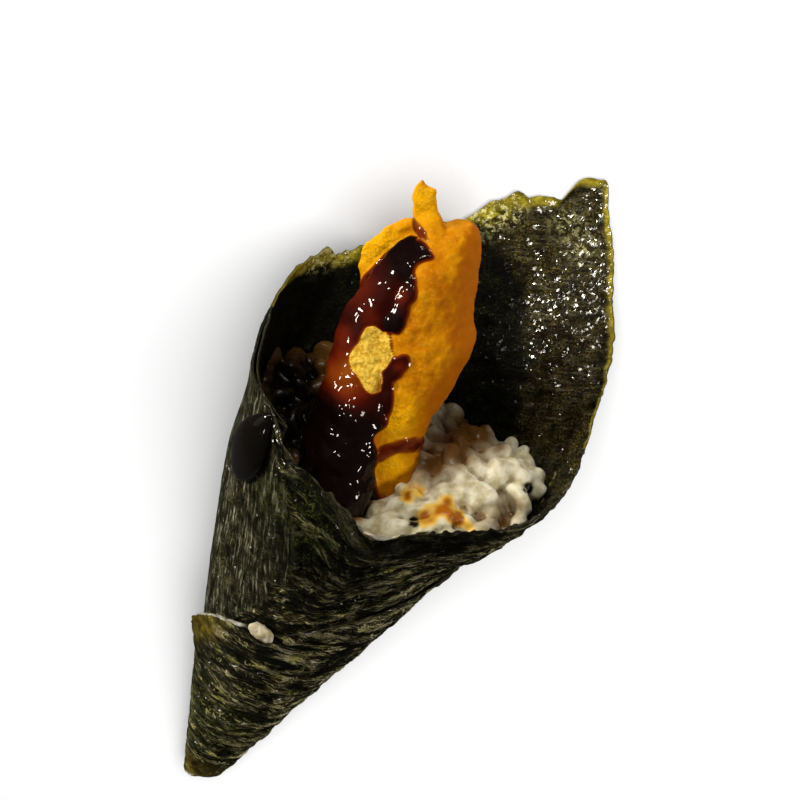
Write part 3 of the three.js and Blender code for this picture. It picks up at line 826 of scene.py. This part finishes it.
def nori_material():
    paint = Paint("nori")
    flat, lines = paint.layer("flat"), paint.layer("lines")
    _, relief, wrinkles = paint.parts(paint.layer("state"))
    lit_through, painted_shade, green = paint.parts(paint.layer("painted_light_and_green"))
    inside, wet_glint, glow = paint.parts(paint.layer("place"))
    blotches = paint.noise(flat, 0.35, detail=6, rough=0.65)
    grain = paint.noise(flat, 2.2, detail=5, rough=0.65)
    pale = paint.span(blotches, 0.4, 0.6)

    drawn = paint.stretch(paint.warp(flat, 0.22, (0.0, 1.5, 0.0)), (0.08, 1.0, 1.0))
    fibres = paint.noise(drawn, 1.9, detail=6, rough=0.68, twist=0.5)
    fibres = paint.math("MULTIPLY_ADD", paint.threads(drawn, 0.9, 0.02, 3.0, 0.5), 0.07, fibres)
    fibres = paint.math("MULTIPLY_ADD", blotches, 0.35, paint.math("SUBTRACT", fibres, 0.175))
    # the smooth panel's fibres, with a painted grey sheen on the lighter streaks
    soft = paint.ramp(fibres, [
        (0.41, (0.001, 0.001, 0.0003)), (0.5, (0.013, 0.012, 0.004)),
        (0.57, (0.055, 0.053, 0.026)), (0.67, (0.38, 0.36, 0.26)),
    ])
    # the wrinkles: streaks of the sheet, with painted shade in the grooves and painted highlights
    # on the crests
    lines = paint.warp(lines, 0.18, (0.0, 4.0, 0.0))
    drawn = paint.stretch(lines, (0.16, 1.0, 1.0))
    body = paint.noise(paint.stretch(lines, (0.3, 1.0, 1.0)), 0.45, detail=4, rough=0.6, twist=0.5)
    body = paint.math("MULTIPLY_ADD", relief, 0.05, body)
    body = paint.span(body, 0.38, 0.68)
    # painted highlights: thin bright lines along the ridges
    bright_ridge_lines = paint.times(paint.threads(drawn, 1.9, 0.035, 2.0, 0.8), 0.75)
    bright_ridge_lines = paint.math("MAXIMUM", bright_ridge_lines, paint.threads(drawn, 0.85, 0.025, 3.0, 0.8))
    threads = paint.noise(drawn, 3.2, detail=4, rough=0.7, twist=0.8)
    crest = paint.math("MULTIPLY_ADD", body, 0.45, paint.span(threads, 0.2, 0.8, -0.27, 0.27))
    lift = paint.times(bright_ridge_lines, paint.span(body, 0.0, 1.0, 0.2, 0.6))
    crest = paint.math("ADD", crest, lift)
    harsh = paint.ramp(crest, [
        (0.08, (0.0003, 0.0002, 0.0001)), (0.24, (0.006, 0.005, 0.0015)),
        (0.37, (0.08, 0.072, 0.03)), (0.58, (0.7, 0.63, 0.42)),
    ])
    mottle = paint.mix(pale, (0.75, 0.8, 0.35), (1.0, 0.95, 1.0))
    harsh = paint.mix(1.0, harsh, mottle, "MULTIPLY")
    tan = paint.times(paint.span(grain, 0.5, 0.6), paint.span(blotches, 0.42, 0.58))
    under = paint.mix(tan, (0.004, 0.0028, 0.0005), (0.16, 0.115, 0.014))
    harsh = paint.mix(paint.times(inside, 0.93), harsh, under)
    color = paint.mix(wrinkles, soft, harsh)
    # painted shade: near black where the lip, the front and the inside lie in shadow
    shade_share = paint.times(painted_shade, paint.span(inside, 0.0, 1.0, 0.9, 1.0))
    color = paint.mix(shade_share, color, (0.0005, 0.0004, 0.0003))
    flecks = paint.times(paint.span(grain, 0.5, 0.62), pale)
    color = paint.mix(paint.times(flecks, green), color, (0.1, 0.13, 0.008))
    # a painted olive glow of light through the thin rim, the flap's corner and the tip
    patchy = paint.times(lit_through, paint.span(grain, 0.25, 0.45))
    deep = paint.mix(inside, (0.03, 0.02, 0.001), (0.14, 0.12, 0.003))
    bright = paint.mix(inside, (0.16, 0.12, 0.006), (0.55, 0.45, 0.035))
    color = paint.mix(patchy, color, paint.mix(pale, deep, bright))
    # painted sheen and glints: pale patches and white specks where the inside gleams
    sparse = paint.noise(flat, 0.9, detail=5, rough=0.7, twist=0.5)
    under_sheen = paint.mix(paint.span(glow, 0.45, 0.9), (0.03, 0.027, 0.001), (0.42, 0.38, 0.025))
    sheen = paint.mix(paint.span(sparse, 0.5, 0.56), under_sheen, (0.95, 0.93, 0.45))
    color = paint.mix(paint.times(glow, inside), color, sheen)
    # a painted highlight: the bright broken line along the flap's edge
    color = paint.mix(wet_glint, color, (0.7, 0.7, 0.62))

    height = paint.math("ADD", paint.math("ADD", fibres, threads), bright_ridge_lines)
    bumps = paint.bump(height, paint.span(inside, 0.0, 1.0, 0.0003, 0.0001), 1.0)
    crumpled = paint.warp(flat, 1.1, (1.5, 1.5, 1.5))
    facets = paint.facets(crumpled, 0.7, paint.span(inside, 0.0, 1.0, 0.8, 0.65))
    shine = paint.math("MAXIMUM", paint.span(blotches, 0.42, 0.55, 0.02, 0.3), inside)
    shine = paint.times(shine, paint.span(painted_shade, 0.3, 0.9, 1.0, 0.04))
    shine = paint.math("MAXIMUM", shine, glow)
    paint.surface(Base_Color=color, Roughness=0.5, Normal=bumps)
    paint.surface(Specular_IOR_Level=0.06)
    paint.surface(Coat_Weight=shine, Coat_Roughness=0.13, Coat_Normal=facets)
    return paint.material


nori = make_nori(nori_material())
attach(nori, "root")
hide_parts("nori_sheet")
light_up(NORI_LIGHTS, [nori])


# ---- the filling's room, as in the solids ----
RICE_BOTTOM = 24.0
RICE_LEVEL = 0.95 * SHEET_HEIGHT
CORE_DEPTH = 1.4
OVERHANG = 1.5  # how far the rice may swell out above the rim
CORE_ROWS = (0, 0.45, 0.76, 0.88, 1)
HEAPS = [(21, -1, 9, 11), (-17, 12, 2, 8), (-3, -16, -6, 9)]  # side, back, height, spread


def filling_radius(angle, along):
    """How far from the bowed axis the filling may reach: it passes under the inner end."""
    turn = np.mod(angle - FIRST_TURN, 360) + FIRST_TURN
    slant = along / np.cos(HALF_ANGLE)
    under = rise(turn, FIRST_TURN + 337.5, FIRST_TURN + 352.5)
    wall = lerp(sheet_lift(turn, slant), sheet_lift(FIRST_TURN + 0 * turn, slant), under)
    straight = along * np.tan(HALF_ANGLE) * roundness(turn, slant)
    above = OVERHANG * rise(slant - rim_slant(turn), 0, 2.5)
    return straight + (wall - WALL - GAP) / np.cos(HALF_ANGLE) + above


def hold_inside(places):
    """Presses places back inside the filling's room."""
    along, side, back = places @ ALONG, places @ SIDE, places @ BACK
    bow = axis_bow(along / np.cos(HALF_ANGLE))
    angle = np.degrees(np.arctan2(side - bow, back))
    share = np.minimum(1, filling_radius(angle, along) / np.hypot(side - bow, back))
    return in_cone((side - bow) * share + bow, back * share, along)


def closed_rings(first, rings, last):
    """A closed skin from a first point over rings of points to a last point."""
    sides = rings.shape[1]
    points = np.concatenate([first[None], rings.reshape(-1, 3), last[None]])
    end = len(points) - 1 - sides
    faces = []
    for k in range(sides):
        after = (k + 1) % sides
        faces.append((0, 1 + k, 1 + after))
        faces.append((len(points) - 1, end + after, end + k))
        for low in range(1, end, sides):
            high = low + sides
            faces.append((low + k, high + k, high + after, low + after))
    return points, faces


class Skin:
    """The fused surface of several closed skins, remeshed in small even faces."""

    def __init__(self, shapes, voxel):
        points, faces = [], []
        for shape_points, shape_faces in shapes:
            faces += [[len(points) + k for k in face] for face in shape_faces]
            points += list(shape_points / 1000)
        mesh = bpy.data.meshes.new("shapes")
        mesh.from_pydata(points, [], faces)
        rough = add_object("shapes", mesh)
        remesh = rough.modifiers.new("remesh", "REMESH")
        remesh.mode = "VOXEL"
        remesh.voxel_size = voxel / 1000
        ready = rough.evaluated_get(bpy.context.evaluated_depsgraph_get())
        self.mesh = bpy.data.meshes.new_from_object(ready)
        bpy.data.objects.remove(rough)
        bpy.data.meshes.remove(mesh)
        self.points = self.read(self.mesh.vertices, "co") * 1000
        edges = np.array([edge.vertices for edge in self.mesh.edges])
        self.ends = edges.T
        self.links = np.bincount(edges.ravel())

    def read(self, items, key):
        values = np.empty((len(items), 3), np.float32)
        items.foreach_get(key, values.ravel())
        return values.astype(float)

    def around(self, values):
        """The mean of each point's neighbours."""
        total = 0
        for here, there in (self.ends, self.ends[::-1]):
            sums = [np.bincount(here, row[there], len(values)) for row in values.T]
            total = total + np.transpose(sums)
        return total / self.links[:, None]

    def smooth(self, times, share=0.5):
        for _ in range(times):
            self.points = lerp(self.points, self.around(self.points), share)

    def normals(self):
        self.mesh.vertices.foreach_set("co", (self.points / 1000).astype(np.float32).ravel())
        self.mesh.update()
        return self.read(self.mesh.vertex_normals, "vector")

    def push(self, distance):
        self.points = self.points + self.normals() * distance[:, None]

    def faces(self):
        return [list(face.vertices) for face in self.mesh.polygons]


# ---- places in the photo: pixels of its 800 by 800 frame ----

def photo_pixel(places):
    """Where the camera sees places, in pixels of the photo."""
    away = places - CAMERA_PLACE
    depth = -(away @ BEHIND)
    across = PHOTO_SIZE / 2 + PIXELS_PER_UNIT * (away @ RIGHT) / depth
    down = PHOTO_SIZE / 2 - PIXELS_PER_UNIT * (away @ UP) / depth
    return stack(across, down)


def under_pixel(across, down, back):
    """The place that the camera sees at a pixel, so far back from the cone's axis."""
    x, y = slopes(across, down)
    sight = x[..., None] * RIGHT + y[..., None] * UP - BEHIND
    return CAMERA_PLACE + sight * ((back - CAMERA_PLACE @ BACK) / (sight @ BACK))[..., None]


def sliced_body(rows, edge, rings, sides=120):
    """A body whose rows give its height, left and right end in the photo's pixels, how far
    back from the axis its middle lies, and half its depth. The edge is keener above 1."""
    t = np.linspace(0, 1, len(rows))
    at = (1 - np.cos(np.pi * np.linspace(0.02, 0.98, rings))) / 2
    down, left, right, back, deep = (curve(stack(t, column), at) for column in zip(*rows))
    start, end = under_pixel(left, down, back), under_pixel(right, down, back)
    middle, half = (start + end) / 2, (end - start) / 2
    angle = np.linspace(0, 2 * np.pi, sides, endpoint=False)

    def keen(share):
        return np.sign(share) * np.abs(share) ** edge

    skin = middle[:, None] + half[:, None] * keen(np.cos(angle))[None, :, None]
    skin = skin - BACK * (deep[:, None] * keen(np.sin(angle)))[..., None]
    return closed_rings(skin[0].mean(0), skin, skin[-1].mean(0))


def inside_outline(pixels, outline):
    """How far places lie inside a rounded outline, in pixels: less than 0 outside it."""
    corners = outline + outline[:1]
    finer = np.arange(0, len(outline), 0.25)
    start = stack(*(curve(list(enumerate(row)), finer) for row in zip(*corners)))
    near = np.inf
    within = np.zeros(len(pixels), bool)
    for first, step in zip(start, np.roll(start, -1, 0) - start):
        (px, py), (dx, dy) = (pixels - first).T, step
        share = np.clip((px * dx + py * dy) / (dx * dx + dy * dy), 0, 1)
        near = np.minimum(near, np.hypot(px - share * dx, py - share * dy))
        if dy:
            crossing = (py >= 0) != (py - dy >= 0)
            within ^= crossing & (px < py * dx / dy)
    return np.where(within, near, -near)


def spots(pixels, rows):
    """The sum of soft round spots: across, down, radius and strength of each."""
    return sum(
        strength * bell(np.hypot(*(pixels - (across, down)).T), radius)
        for across, down, radius, strength in rows
    )


# ---- the tempura and the sauce on it ----
# Rows of each body from its lower end: down, left and right in pixels, back and half depth.
BATTER = [
    (545, 345, 388, -5, 4.5), (520, 340, 402, -5, 5.6), (490, 340, 414, -5, 6.5),
    (460, 343, 418, -4, 7), (430, 345, 426, -2.9, 7.5), (405, 345, 441, -1.6, 7.8),
    (385, 344, 455, -0.6, 8), (365, 343, 466, 0.5, 8.3), (345, 344, 475, 1.7, 8.5),
    (325, 348, 474.5, 2.9, 8.6), (305, 355, 474, 3.9, 8.5), (285, 366, 477, 4.9, 8.2),
    (268, 380, 479, 5.8, 7.8), (248, 400, 481, 7, 6.6), (232, 428, 479, 7.7, 4.6),
    (224, 447, 472, 8, 2),
]
SAUCE = [
    (532, 315, 350, -16, 3), (502, 298, 366, -15.5, 5), (470, 301, 372, -13, 5.8),
    (441, 306, 378, -10.5, 6), (415, 314, 386, -8, 5.5), (384, 324, 392, -5.2, 5),
    (355, 333, 398, -3, 4.6), (328, 339, 402, -1.3, 4.2), (300, 353, 412, 0.2, 3.8),
    (270, 377, 428, 2.2, 3.2), (250, 394, 432, 4.2, 2.4), (238, 413, 430, 5.6, 1.4),
]
SPIKE = [
    (310, 438, 448, 0.6, 1), (280, 430, 453, 1.4, 1.8), (255, 424, 451, 3, 1.8),
    (240, 419, 448, 4.4, 1.8), (231, 417, 445, 5.4, 1.6), (221, 414.5, 443.5, 6.6, 1.4),
    (214, 413.5, 440, 7.1, 1.2), (208, 413, 438, 7.3, 1.1), (200, 412.7, 436.7, 7.5, 1.1),
    (194, 413, 436.3, 7.7, 1), (190.5, 413.6, 436.2, 7.8, 0.9), (188.5, 414.3, 434.5, 7.8, 0.9),
    (187, 415, 429, 7.8, 0.9), (184, 417, 426, 7.9, 0.8), (181, 419.5, 424.5, 7.9, 0.7),
    (179, 421, 423, 8, 0.5),
]
FIN = [
    (310, 357, 390, 6, 2), (290, 362, 400, 8, 1.8), (276, 361, 410, 8.8, 1.6),
    (266, 358, 415, 9, 1.5), (258, 359.5, 420, 9, 1.4), (245, 364, 424, 9, 1.4),
    (235, 375.5, 424, 9, 1.3), (229, 383, 420, 9, 1.2), (223, 393, 418, 9, 1),
    (219, 406, 414, 9, 0.6),
]
SAUCE_OUTLINE = [
    (410, 236), (424, 242), (431, 250), (434, 258), (426, 262), (417, 266), (414, 274),
    (418, 288), (416, 299), (410, 308), (407, 322), (400, 334), (391, 333), (393, 345),
    (394, 356), (402, 354), (409, 357), (408, 368), (400, 377), (394, 384), (393, 397),
    (391, 410), (387, 424), (376, 434), (373, 442), (377, 462), (374, 470), (377, 490),
    (383, 505), (385, 530), (380, 570), (270, 570), (280, 430), (300, 390), (322, 345),
    (336, 312), (350, 294), (361, 281), (373, 267), (384, 255), (396, 245),
]
ISLAND_OUTLINE = [
    (366, 327), (375, 325), (383, 330), (389, 333), (392, 345), (393, 358), (389, 367),
    (383, 373), (384, 382), (380, 391), (371, 394), (364, 390), (360, 380), (353, 370),
    (350, 361), (353, 350), (359, 340),
]
STRIPE_OUTLINE = [(370, 452), (393, 442), (424, 438), (424, 449), (396, 453), (376, 462)]
BASE_OUTLINE = [(412, 216), (417, 219), (421, 226), (427, 233), (429, 240), (421, 238), (414, 229)]
# Where the sauce is thinner or thicker: across, down, radius, strength.
SAUCE_DEPTHS = [
    (402, 297, 9, -0.3), (372, 318, 12, -0.2), (345, 335, 14, -0.25), (350, 362, 14, -0.3),
    (348, 385, 26, -0.5), (325, 375, 14, -0.25), (365, 285, 22, -0.22), (415, 258, 20, 0.3),
    (395, 325, 8, 0.3), (400, 366, 8, -0.25), (388, 418, 6, -0.4), (350, 300, 14, -0.1),
    (340, 460, 45, 0.3), (300, 430, 40, 0.4),
]
# spots of painted light: paler, brighter yellow batter where light falls on it
LIT_BATTER_SPOTS = [
    (398, 420, 22, 1), (396, 465, 20, 1), (375, 245, 28, 1.2), (425, 200, 24, 1),
    (420, 260, 9, 0.5),
]
SAUCE_LAYER = 0.7  # millimetres that the thick sauce adds
BATTER_VOXEL = 0.35


def make_tempura(material):
    shapes = [
        sliced_body(BATTER, 1.15, 90), sliced_body(SAUCE, 1.1, 70),
        sliced_body(SPIKE, 1.0, 60), sliced_body(FIN, 1.0, 40),
    ]
    skin = Skin(shapes, BATTER_VOXEL)
    skin.smooth(3)
    skin.push(0.3 * rough_noise(skin.points / 3.5, 41, 3))

    pixels = photo_pixel(skin.points)
    wobble = stack(noise(skin.points / 2.2, 42), noise(skin.points / 2.2, 43))
    pixels = pixels + 1.5 * wobble
    normals = skin.normals()
    shown = rise(normals @ BEHIND, -0.5, 0.1)
    sauce = rise(inside_outline(pixels, SAUCE_OUTLINE), -2.5, 3.5)
    island = rise(inside_outline(pixels, ISLAND_OUTLINE), -1, 1.5)
    # painted light on the batter, but not on the island
    lit_patch = np.minimum(1, spots(pixels, LIT_BATTER_SPOTS)) * (1 - island)
    stripe = rise(inside_outline(pixels, STRIPE_OUTLINE), -5, 5)
    stripe = np.maximum(stripe, spots(pixels, [(382, 508, 14, 0.9)]))
    stripe = np.maximum(stripe, 0.7 * rise(inside_outline(pixels, BASE_OUTLINE), -3, 3))
    depth = np.clip(0.8 + spots(pixels, SAUCE_DEPTHS), 0.15, 1)
    stripe = stripe * (0.5 + 0.3 * noise(skin.points / 1.6, 45))
    thick = np.maximum(sauce * depth * (1 - island), stripe) * shown
    bare = fall(thick, 0, 0.3)
    crumb = rough_noise(skin.points / 1.6, 44, 3) * bare * (0.14 + 0.16 * island)
    # the side facing right: smoother crumbs, and painted shade
    smooth_shaded_side = rise(normals @ RIGHT, 0.1, 0.6)
    skin.push(SAUCE_LAYER * thick + 0.35 * island + crumb * (1 - 0.8 * smooth_shaded_side))
    layers = {
        "state": stack(thick, smooth_shaded_side * (1 - lit_patch), island),
        "lit_gold": stack(lit_patch, 0 * lit_patch, 0 * lit_patch),
        "spot": skin.points,
    }
    return build_mesh("tempura_batter", skin.points, skin.faces(), material, layers)


def tempura_material():
    paint = Paint("tempura_batter")
    spot = paint.layer("spot")
    thick, shaded_right_side, island = paint.parts(paint.layer("state"))
    cloud = paint.noise(spot, 0.25, detail=4, rough=0.6)
    crumb = paint.noise(spot, 1.6, detail=5, rough=0.6)
    yellow = paint.mix(paint.span(cloud, 0.35, 0.65), (0.54, 0.16, 0.0003), (0.72, 0.29, 0.001))
    # painted light: lighter yellow batter where light falls on it
    lit_gold, _, _ = paint.parts(paint.layer("lit_gold"))
    yellow = paint.mix(lit_gold, yellow, (0.98, 0.47, 0.001))
    crisp = paint.mix(paint.span(crumb, 0.4, 0.6), (0.7, 0.38, 0.02), (1.0, 0.72, 0.12))
    pale = paint.mix(island, yellow, crisp)
    rougher = paint.math("MAXIMUM", paint.span(shaded_right_side, 0.0, 1.0, 0.4, 0.1), lit_gold)
    rougher = paint.math("MAXIMUM", rougher, island)
    # a painted highlight on the tops of the crumbs
    lit_crumb_tops = paint.times(paint.span(crumb, 0.5, 0.66, 0.0, 0.5), rougher)
    pale = paint.mix(lit_crumb_tops, pale, (0.95, 0.62, 0.06))
    # painted shade: orange-brown on the side facing right, away from the lamps
    shaded_color = paint.mix(paint.times(shaded_right_side, 0.9), pale, (0.41, 0.105, 0.0006))
    sauce = paint.ramp(thick, [
        (0.0, (0.5, 0.16, 0.002)), (0.3, (0.18, 0.03, 0.0005)), (0.5, (0.12, 0.009, 0.0003)),
        (0.68, (0.035, 0.002, 0.0005)), (0.88, (0.005, 0.0008, 0.0005)),
    ])
    wet_glint = paint.span(thick, 0.08, 0.2)
    color = paint.mix(wet_glint, shaded_color, sauce)
    crust = paint.times(paint.span(thick, 0.05, 0.25, 0.8, 0.0), rougher)
    bumps = paint.bump(crumb, 0.0007, crust)
    steady = paint.span(thick, 0.5, 1.0, 1.0, 0.45)
    waves = paint.bump(paint.noise(spot, 0.4, detail=1), 0.0006, steady)
    paint.surface(Base_Color=color, Normal=bumps, Roughness=0.6, Specular_IOR_Level=0.03)
    paint.surface(Coat_Weight=paint.times(wet_glint, 0.35), Coat_Roughness=0.05)
    paint.surface(Coat_Normal=waves)
    return paint.material


tempura = make_tempura(tempura_material())
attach(tempura, "root")
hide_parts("tempura")


# ---- the rice ----
RICE_VOXEL = 0.44
GRAIN_RAISE = 0.7
FRONT_GRAINS = [  # across and down in pixels, degrees from the photo's right
    (498, 455, 20), (510, 452, 80), (521, 460, 60), (505, 467, 10), (517, 475, 150),
    (530, 478, 20), (497, 474, 90), (526, 466, 110), (443, 480, 70), (453, 476, 30),
    (465, 482, 150), (478, 490, 160), (450, 492, 10), (465, 496, 0), (439, 496, 45),
    (482, 500, 20), (383, 523, 20), (398, 529, 0), (404, 514, 60), (417, 503, 120),
    (428, 511, 0), (441, 520, 30), (425, 529, 10), (445, 504, 100), (393, 511, 50),
]
GRAIN_COUNT = 120
GRAIN_HALF_LENGTH = 3.0
GRAIN_HALF_WIDTH = 1.75


def rice_level(side, back):
    return RICE_LEVEL + sum(
        height * np.exp(-((side - x) ** 2 + (back - y) ** 2) / (2 * spread ** 2))
        for x, y, height, spread in HEAPS
    )


def rice_core():
    """The bare core: up the wall from its foot, then in over the heaped top."""
    angle = np.arange(0, 360, 7.5)
    way = np.radians(angle)

    def place(radius, along):
        bow = axis_bow(along / np.cos(HALF_ANGLE))
        return in_cone(radius * np.sin(way) + bow, radius * np.cos(way), along)

    def level(radius):
        return rice_level(radius * np.sin(way), radius * np.cos(way)) - CORE_DEPTH

    brim = level(filling_radius(angle, RICE_LEVEL + 0 * angle))
    sides = [lerp(RICE_BOTTOM, brim, share) for share in CORE_ROWS]
    rings = [place(filling_radius(angle, along), along) for along in sides]
    for share in np.arange(0.9, 0.05, -0.1):
        radius = filling_radius(angle, brim) * share
        rings.append(place(radius, level(radius)))
    top = in_cone(0, 0, rice_level(0, 0) - CORE_DEPTH)
    return closed_rings(in_cone(0, 0, RICE_BOTTOM), np.array(rings), top)


def grain(middle, direction, half_length, half_width, sides=12):
    """A grain of rice, longest along a direction and blunt at its ends."""
    ahead = np.linspace(-1, 1, sides)[1:-1]
    angle = np.linspace(0, 2 * np.pi, sides, endpoint=False)
    girth = (1 - np.abs(ahead) ** 2.6) ** 0.5
    side = unit(np.cross(direction, ALONG + 0.01))
    rings = middle + direction * (ahead * half_length)[:, None, None]
    for way, share in ((side, np.cos(angle)), (np.cross(direction, side), np.sin(angle))):
        rings = rings + way * (np.outer(girth, share) * half_width)[..., None]
    return closed_rings(middle - direction * half_length, rings, middle + direction * half_length)


STAINS = [  # across, down, radius, strength, as for the shades
    (408, 495, 8, 0.8), (418, 490, 7, 0.9), (427, 516, 11, 1), (446, 506, 10, 1.2),
    (457, 519, 7, 1.5), (468, 528, 7, 0.6),
]
# spots of painted shade on the rice: across, down, radius, strength
SHADES = [
    (440, 440, 20, 0.8), (468, 434, 18, 0.9), (424, 465, 16, 0.8), (440, 470, 13, 0.6),
    (460, 456, 13, 0.7), (478, 413, 18, 1), (486, 438, 10, 0.6), (500, 520, 17, 0.7),
    (478, 522, 12, 0.3), (518, 506, 9, 0.5), (501, 447, 8, 0.8), (482, 458, 9, 0.4),
    (288, 380, 60, 2.7), (300, 440, 35, 2), (350, 505, 15, 3),
]


def on_heap(across, down):
    """The place on the heap's top that the camera sees at a pixel."""
    backs = np.linspace(-26, 20, 185)
    places = under_pixel(np.full_like(backs, across), np.full_like(backs, down), backs)
    above = places @ ALONG - rice_level(places @ SIDE, places @ BACK)
    return places[np.argmin(np.abs(above - GRAIN_RAISE))]


def front_grains():
    """Grains that lie as in the photo: a white clump at the right and flakes in front."""
    for across, down, heading in FRONT_GRAINS:
        way = np.radians(heading)
        direction = unit(RIGHT * np.cos(way) + UP * np.sin(way))
        yield grain(on_heap(across, down), direction, GRAIN_HALF_LENGTH, GRAIN_HALF_WIDTH)


def rice_grains():
    """Grains in a sunflower pattern over the top, each turned and tipped at random."""
    random = np.random.default_rng(5)
    mouth = RICE_LEVEL * np.tan(HALF_ANGLE) + 1
    golden_turn = np.pi * (3 - np.sqrt(5))
    grains = []
    for k in range(GRAIN_COUNT):
        radius = mouth * np.sqrt((k + 0.5) / GRAIN_COUNT) + random.uniform(-0.8, 0.8)
        side, back = radius * np.sin(golden_turn * k), radius * np.cos(golden_turn * k)
        heading = random.uniform(0, 2 * np.pi)
        tip = random.uniform(-0.5, 0.8)
        size = random.uniform(0.85, 1.12)
        middle = in_cone(side, back, rice_level(side, back) - random.uniform(-0.7, 1.5))
        direction = unit(in_cone(np.cos(heading), np.sin(heading), tip))
        grains.append(grain(middle, direction, GRAIN_HALF_LENGTH * size,
                            GRAIN_HALF_WIDTH * size))
    return grains


def make_rice(material):
    skin = Skin([rice_core(), *rice_grains(), *front_grains()], RICE_VOXEL)
    skin.smooth(2, 0.4)
    skin.push(0.18 * rough_noise(skin.points / 2.4, 52, 2))
    skin.points = hold_inside(skin.points)
    pixels = photo_pixel(skin.points)
    patchy = 0.75 + 0.6 * noise(skin.points / 2.2, 51)
    stain = np.clip(1.6 * patchy * spots(pixels, STAINS) - 0.1, 0, 1)
    shown = rise(skin.normals() @ BEHIND, 0.1, 0.5)
    # two small dark spots on the rice
    dark_dots = rise(spots(pixels, [(414, 522, 6, 1), (528, 488, 6, 1)]), 0.35, 0.5) * shown
    level = skin.points
    for _ in range(6):
        level = skin.around(level)
    hollow = ((level - skin.points) * skin.normals()).sum(-1)
    # painted shade: the spots where the rice lies in shadow, and darker in the hollows between
    # grains
    shade = spots(pixels, SHADES) + 0.45 * rise(hollow, 0.02, 0.22)
    layers = {"state": stack(stain, shade, dark_dots), "spot": skin.points}
    return build_mesh("rice_heap", skin.points, skin.faces(), material, layers)


def rice_material():
    paint = Paint("rice")
    spot = paint.layer("spot")
    stain, shade, dark_dots = paint.parts(paint.layer("state"))
    cloud = paint.noise(spot, 0.5, detail=3)
    white = paint.mix(paint.span(cloud, 0.35, 0.65), (0.5, 0.44, 0.26), (0.88, 0.85, 0.68))
    # painted shade: brown, and near black where the shade is deepest
    shaded_color = paint.mix(paint.span(shade, 0.0, 1.0), white, (0.15, 0.066, 0.013))
    shaded_color = paint.mix(paint.span(shade, 1.2, 2.6), shaded_color, (0.003, 0.0015, 0.0005))
    golden = paint.mix(paint.span(stain, 0.5, 1.0), (0.8, 0.5, 0.07), (0.38, 0.11, 0.002))
    color = paint.mix(paint.span(stain, 0.1, 0.5), shaded_color, golden)
    color = paint.mix(dark_dots, color, (0.004, 0.002, 0.001))
    paint.surface(Base_Color=color, Roughness=0.3, Subsurface_Weight=0.25)
    paint.surface(Specular_IOR_Level=0.25)
    paint.surface(Subsurface_Radius=(0.004, 0.003, 0.0015), Subsurface_Scale=0.5)
    paint.surface(Normal=paint.bump(paint.noise(spot, 1.2, detail=3), 0.0002, 0.5))
    return paint.material


rice_paint = rice_material()
rice = make_rice(rice_paint)
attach(rice, "root")
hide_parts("rice")


# ---- the drop of sauce outside, and the grain caught under the flap ----
DRIP_TURN = 221
DRIP_SLANT = 103.5
DRIP_LENGTH = 10  # from its middle to its ends
DRIP_WIDTH = 5
DRIP_LEAN = 0.25
CAUGHT_TURN = 543
CAUGHT_ABOVE = 1.1  # how far above the flap's edge the grain lies
CAUGHT_LENGTH = 2.4
CAUGHT_WIDTH = 1.25


def make_drip(material):
    """A drop of sauce that hangs on the wall, widest at its lower end."""
    around = np.linspace(0, 2 * np.pi, 64, endpoint=False)
    degrees_across = 1 / (DRIP_SLANT * np.sin(HALF_ANGLE) * np.radians(1))

    def ring(share, lift):
        down = share * DRIP_LENGTH * np.cos(around)
        narrow = 1 - 0.5 * rise(-down, -DRIP_LENGTH / 2, DRIP_LENGTH)
        across = share * DRIP_WIDTH * narrow * np.sin(around) + DRIP_LEAN * down
        return on_sheet(DRIP_TURN + across * degrees_across, DRIP_SLANT - down, lift)

    climb = np.linspace(-0.35, np.pi / 2 - 0.03, 26)
    rings = [ring(0.985 * np.cos(a) ** 0.9, 0.55 + 1.9 * np.sin(a)) for a in climb]
    points, faces = closed_rings(rings[0].mean(0), np.array(rings), rings[-1].mean(0))
    return build_mesh("sauce_drop", points, faces, material)


def make_caught_grain(material):
    under = CAUGHT_TURN - 360
    slant = rim_slant(CAUGHT_TURN) + CAUGHT_ABOVE
    middle = on_sheet(under, slant, CAUGHT_WIDTH + GAP)
    direction = unit(on_sheet(under + 2, slant, 0) - on_sheet(under - 2, slant, 0))
    points, faces = grain(middle, direction, CAUGHT_LENGTH, CAUGHT_WIDTH, 36)
    bulge = 1 + 0.22 * rough_noise(points / 1.6, 61, 3)
    points = middle + (points - middle) * bulge[:, None]
    # the grain is a little darker and browner all over, by 0.3 of the rice's shade
    layers = {"state": 0 * points + (0, 0.3, 0), "spot": points}
    return build_mesh("caught_rice_grain", points, faces, material, layers)


SAUCE_LOOK = {
    "Base_Color": (0.005, 0.0035, 0.0025), "Roughness": 0.06, "Specular_IOR_Level": 0.3,
}

drop = make_drip(plain("dark_sauce", **SAUCE_LOOK))
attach(drop, "root")
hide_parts("sauce_drip")
light_up(DROP_LIGHTS, [drop])
stray = make_caught_grain(rice_paint)
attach(stray, "root")
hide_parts("caught_grain")
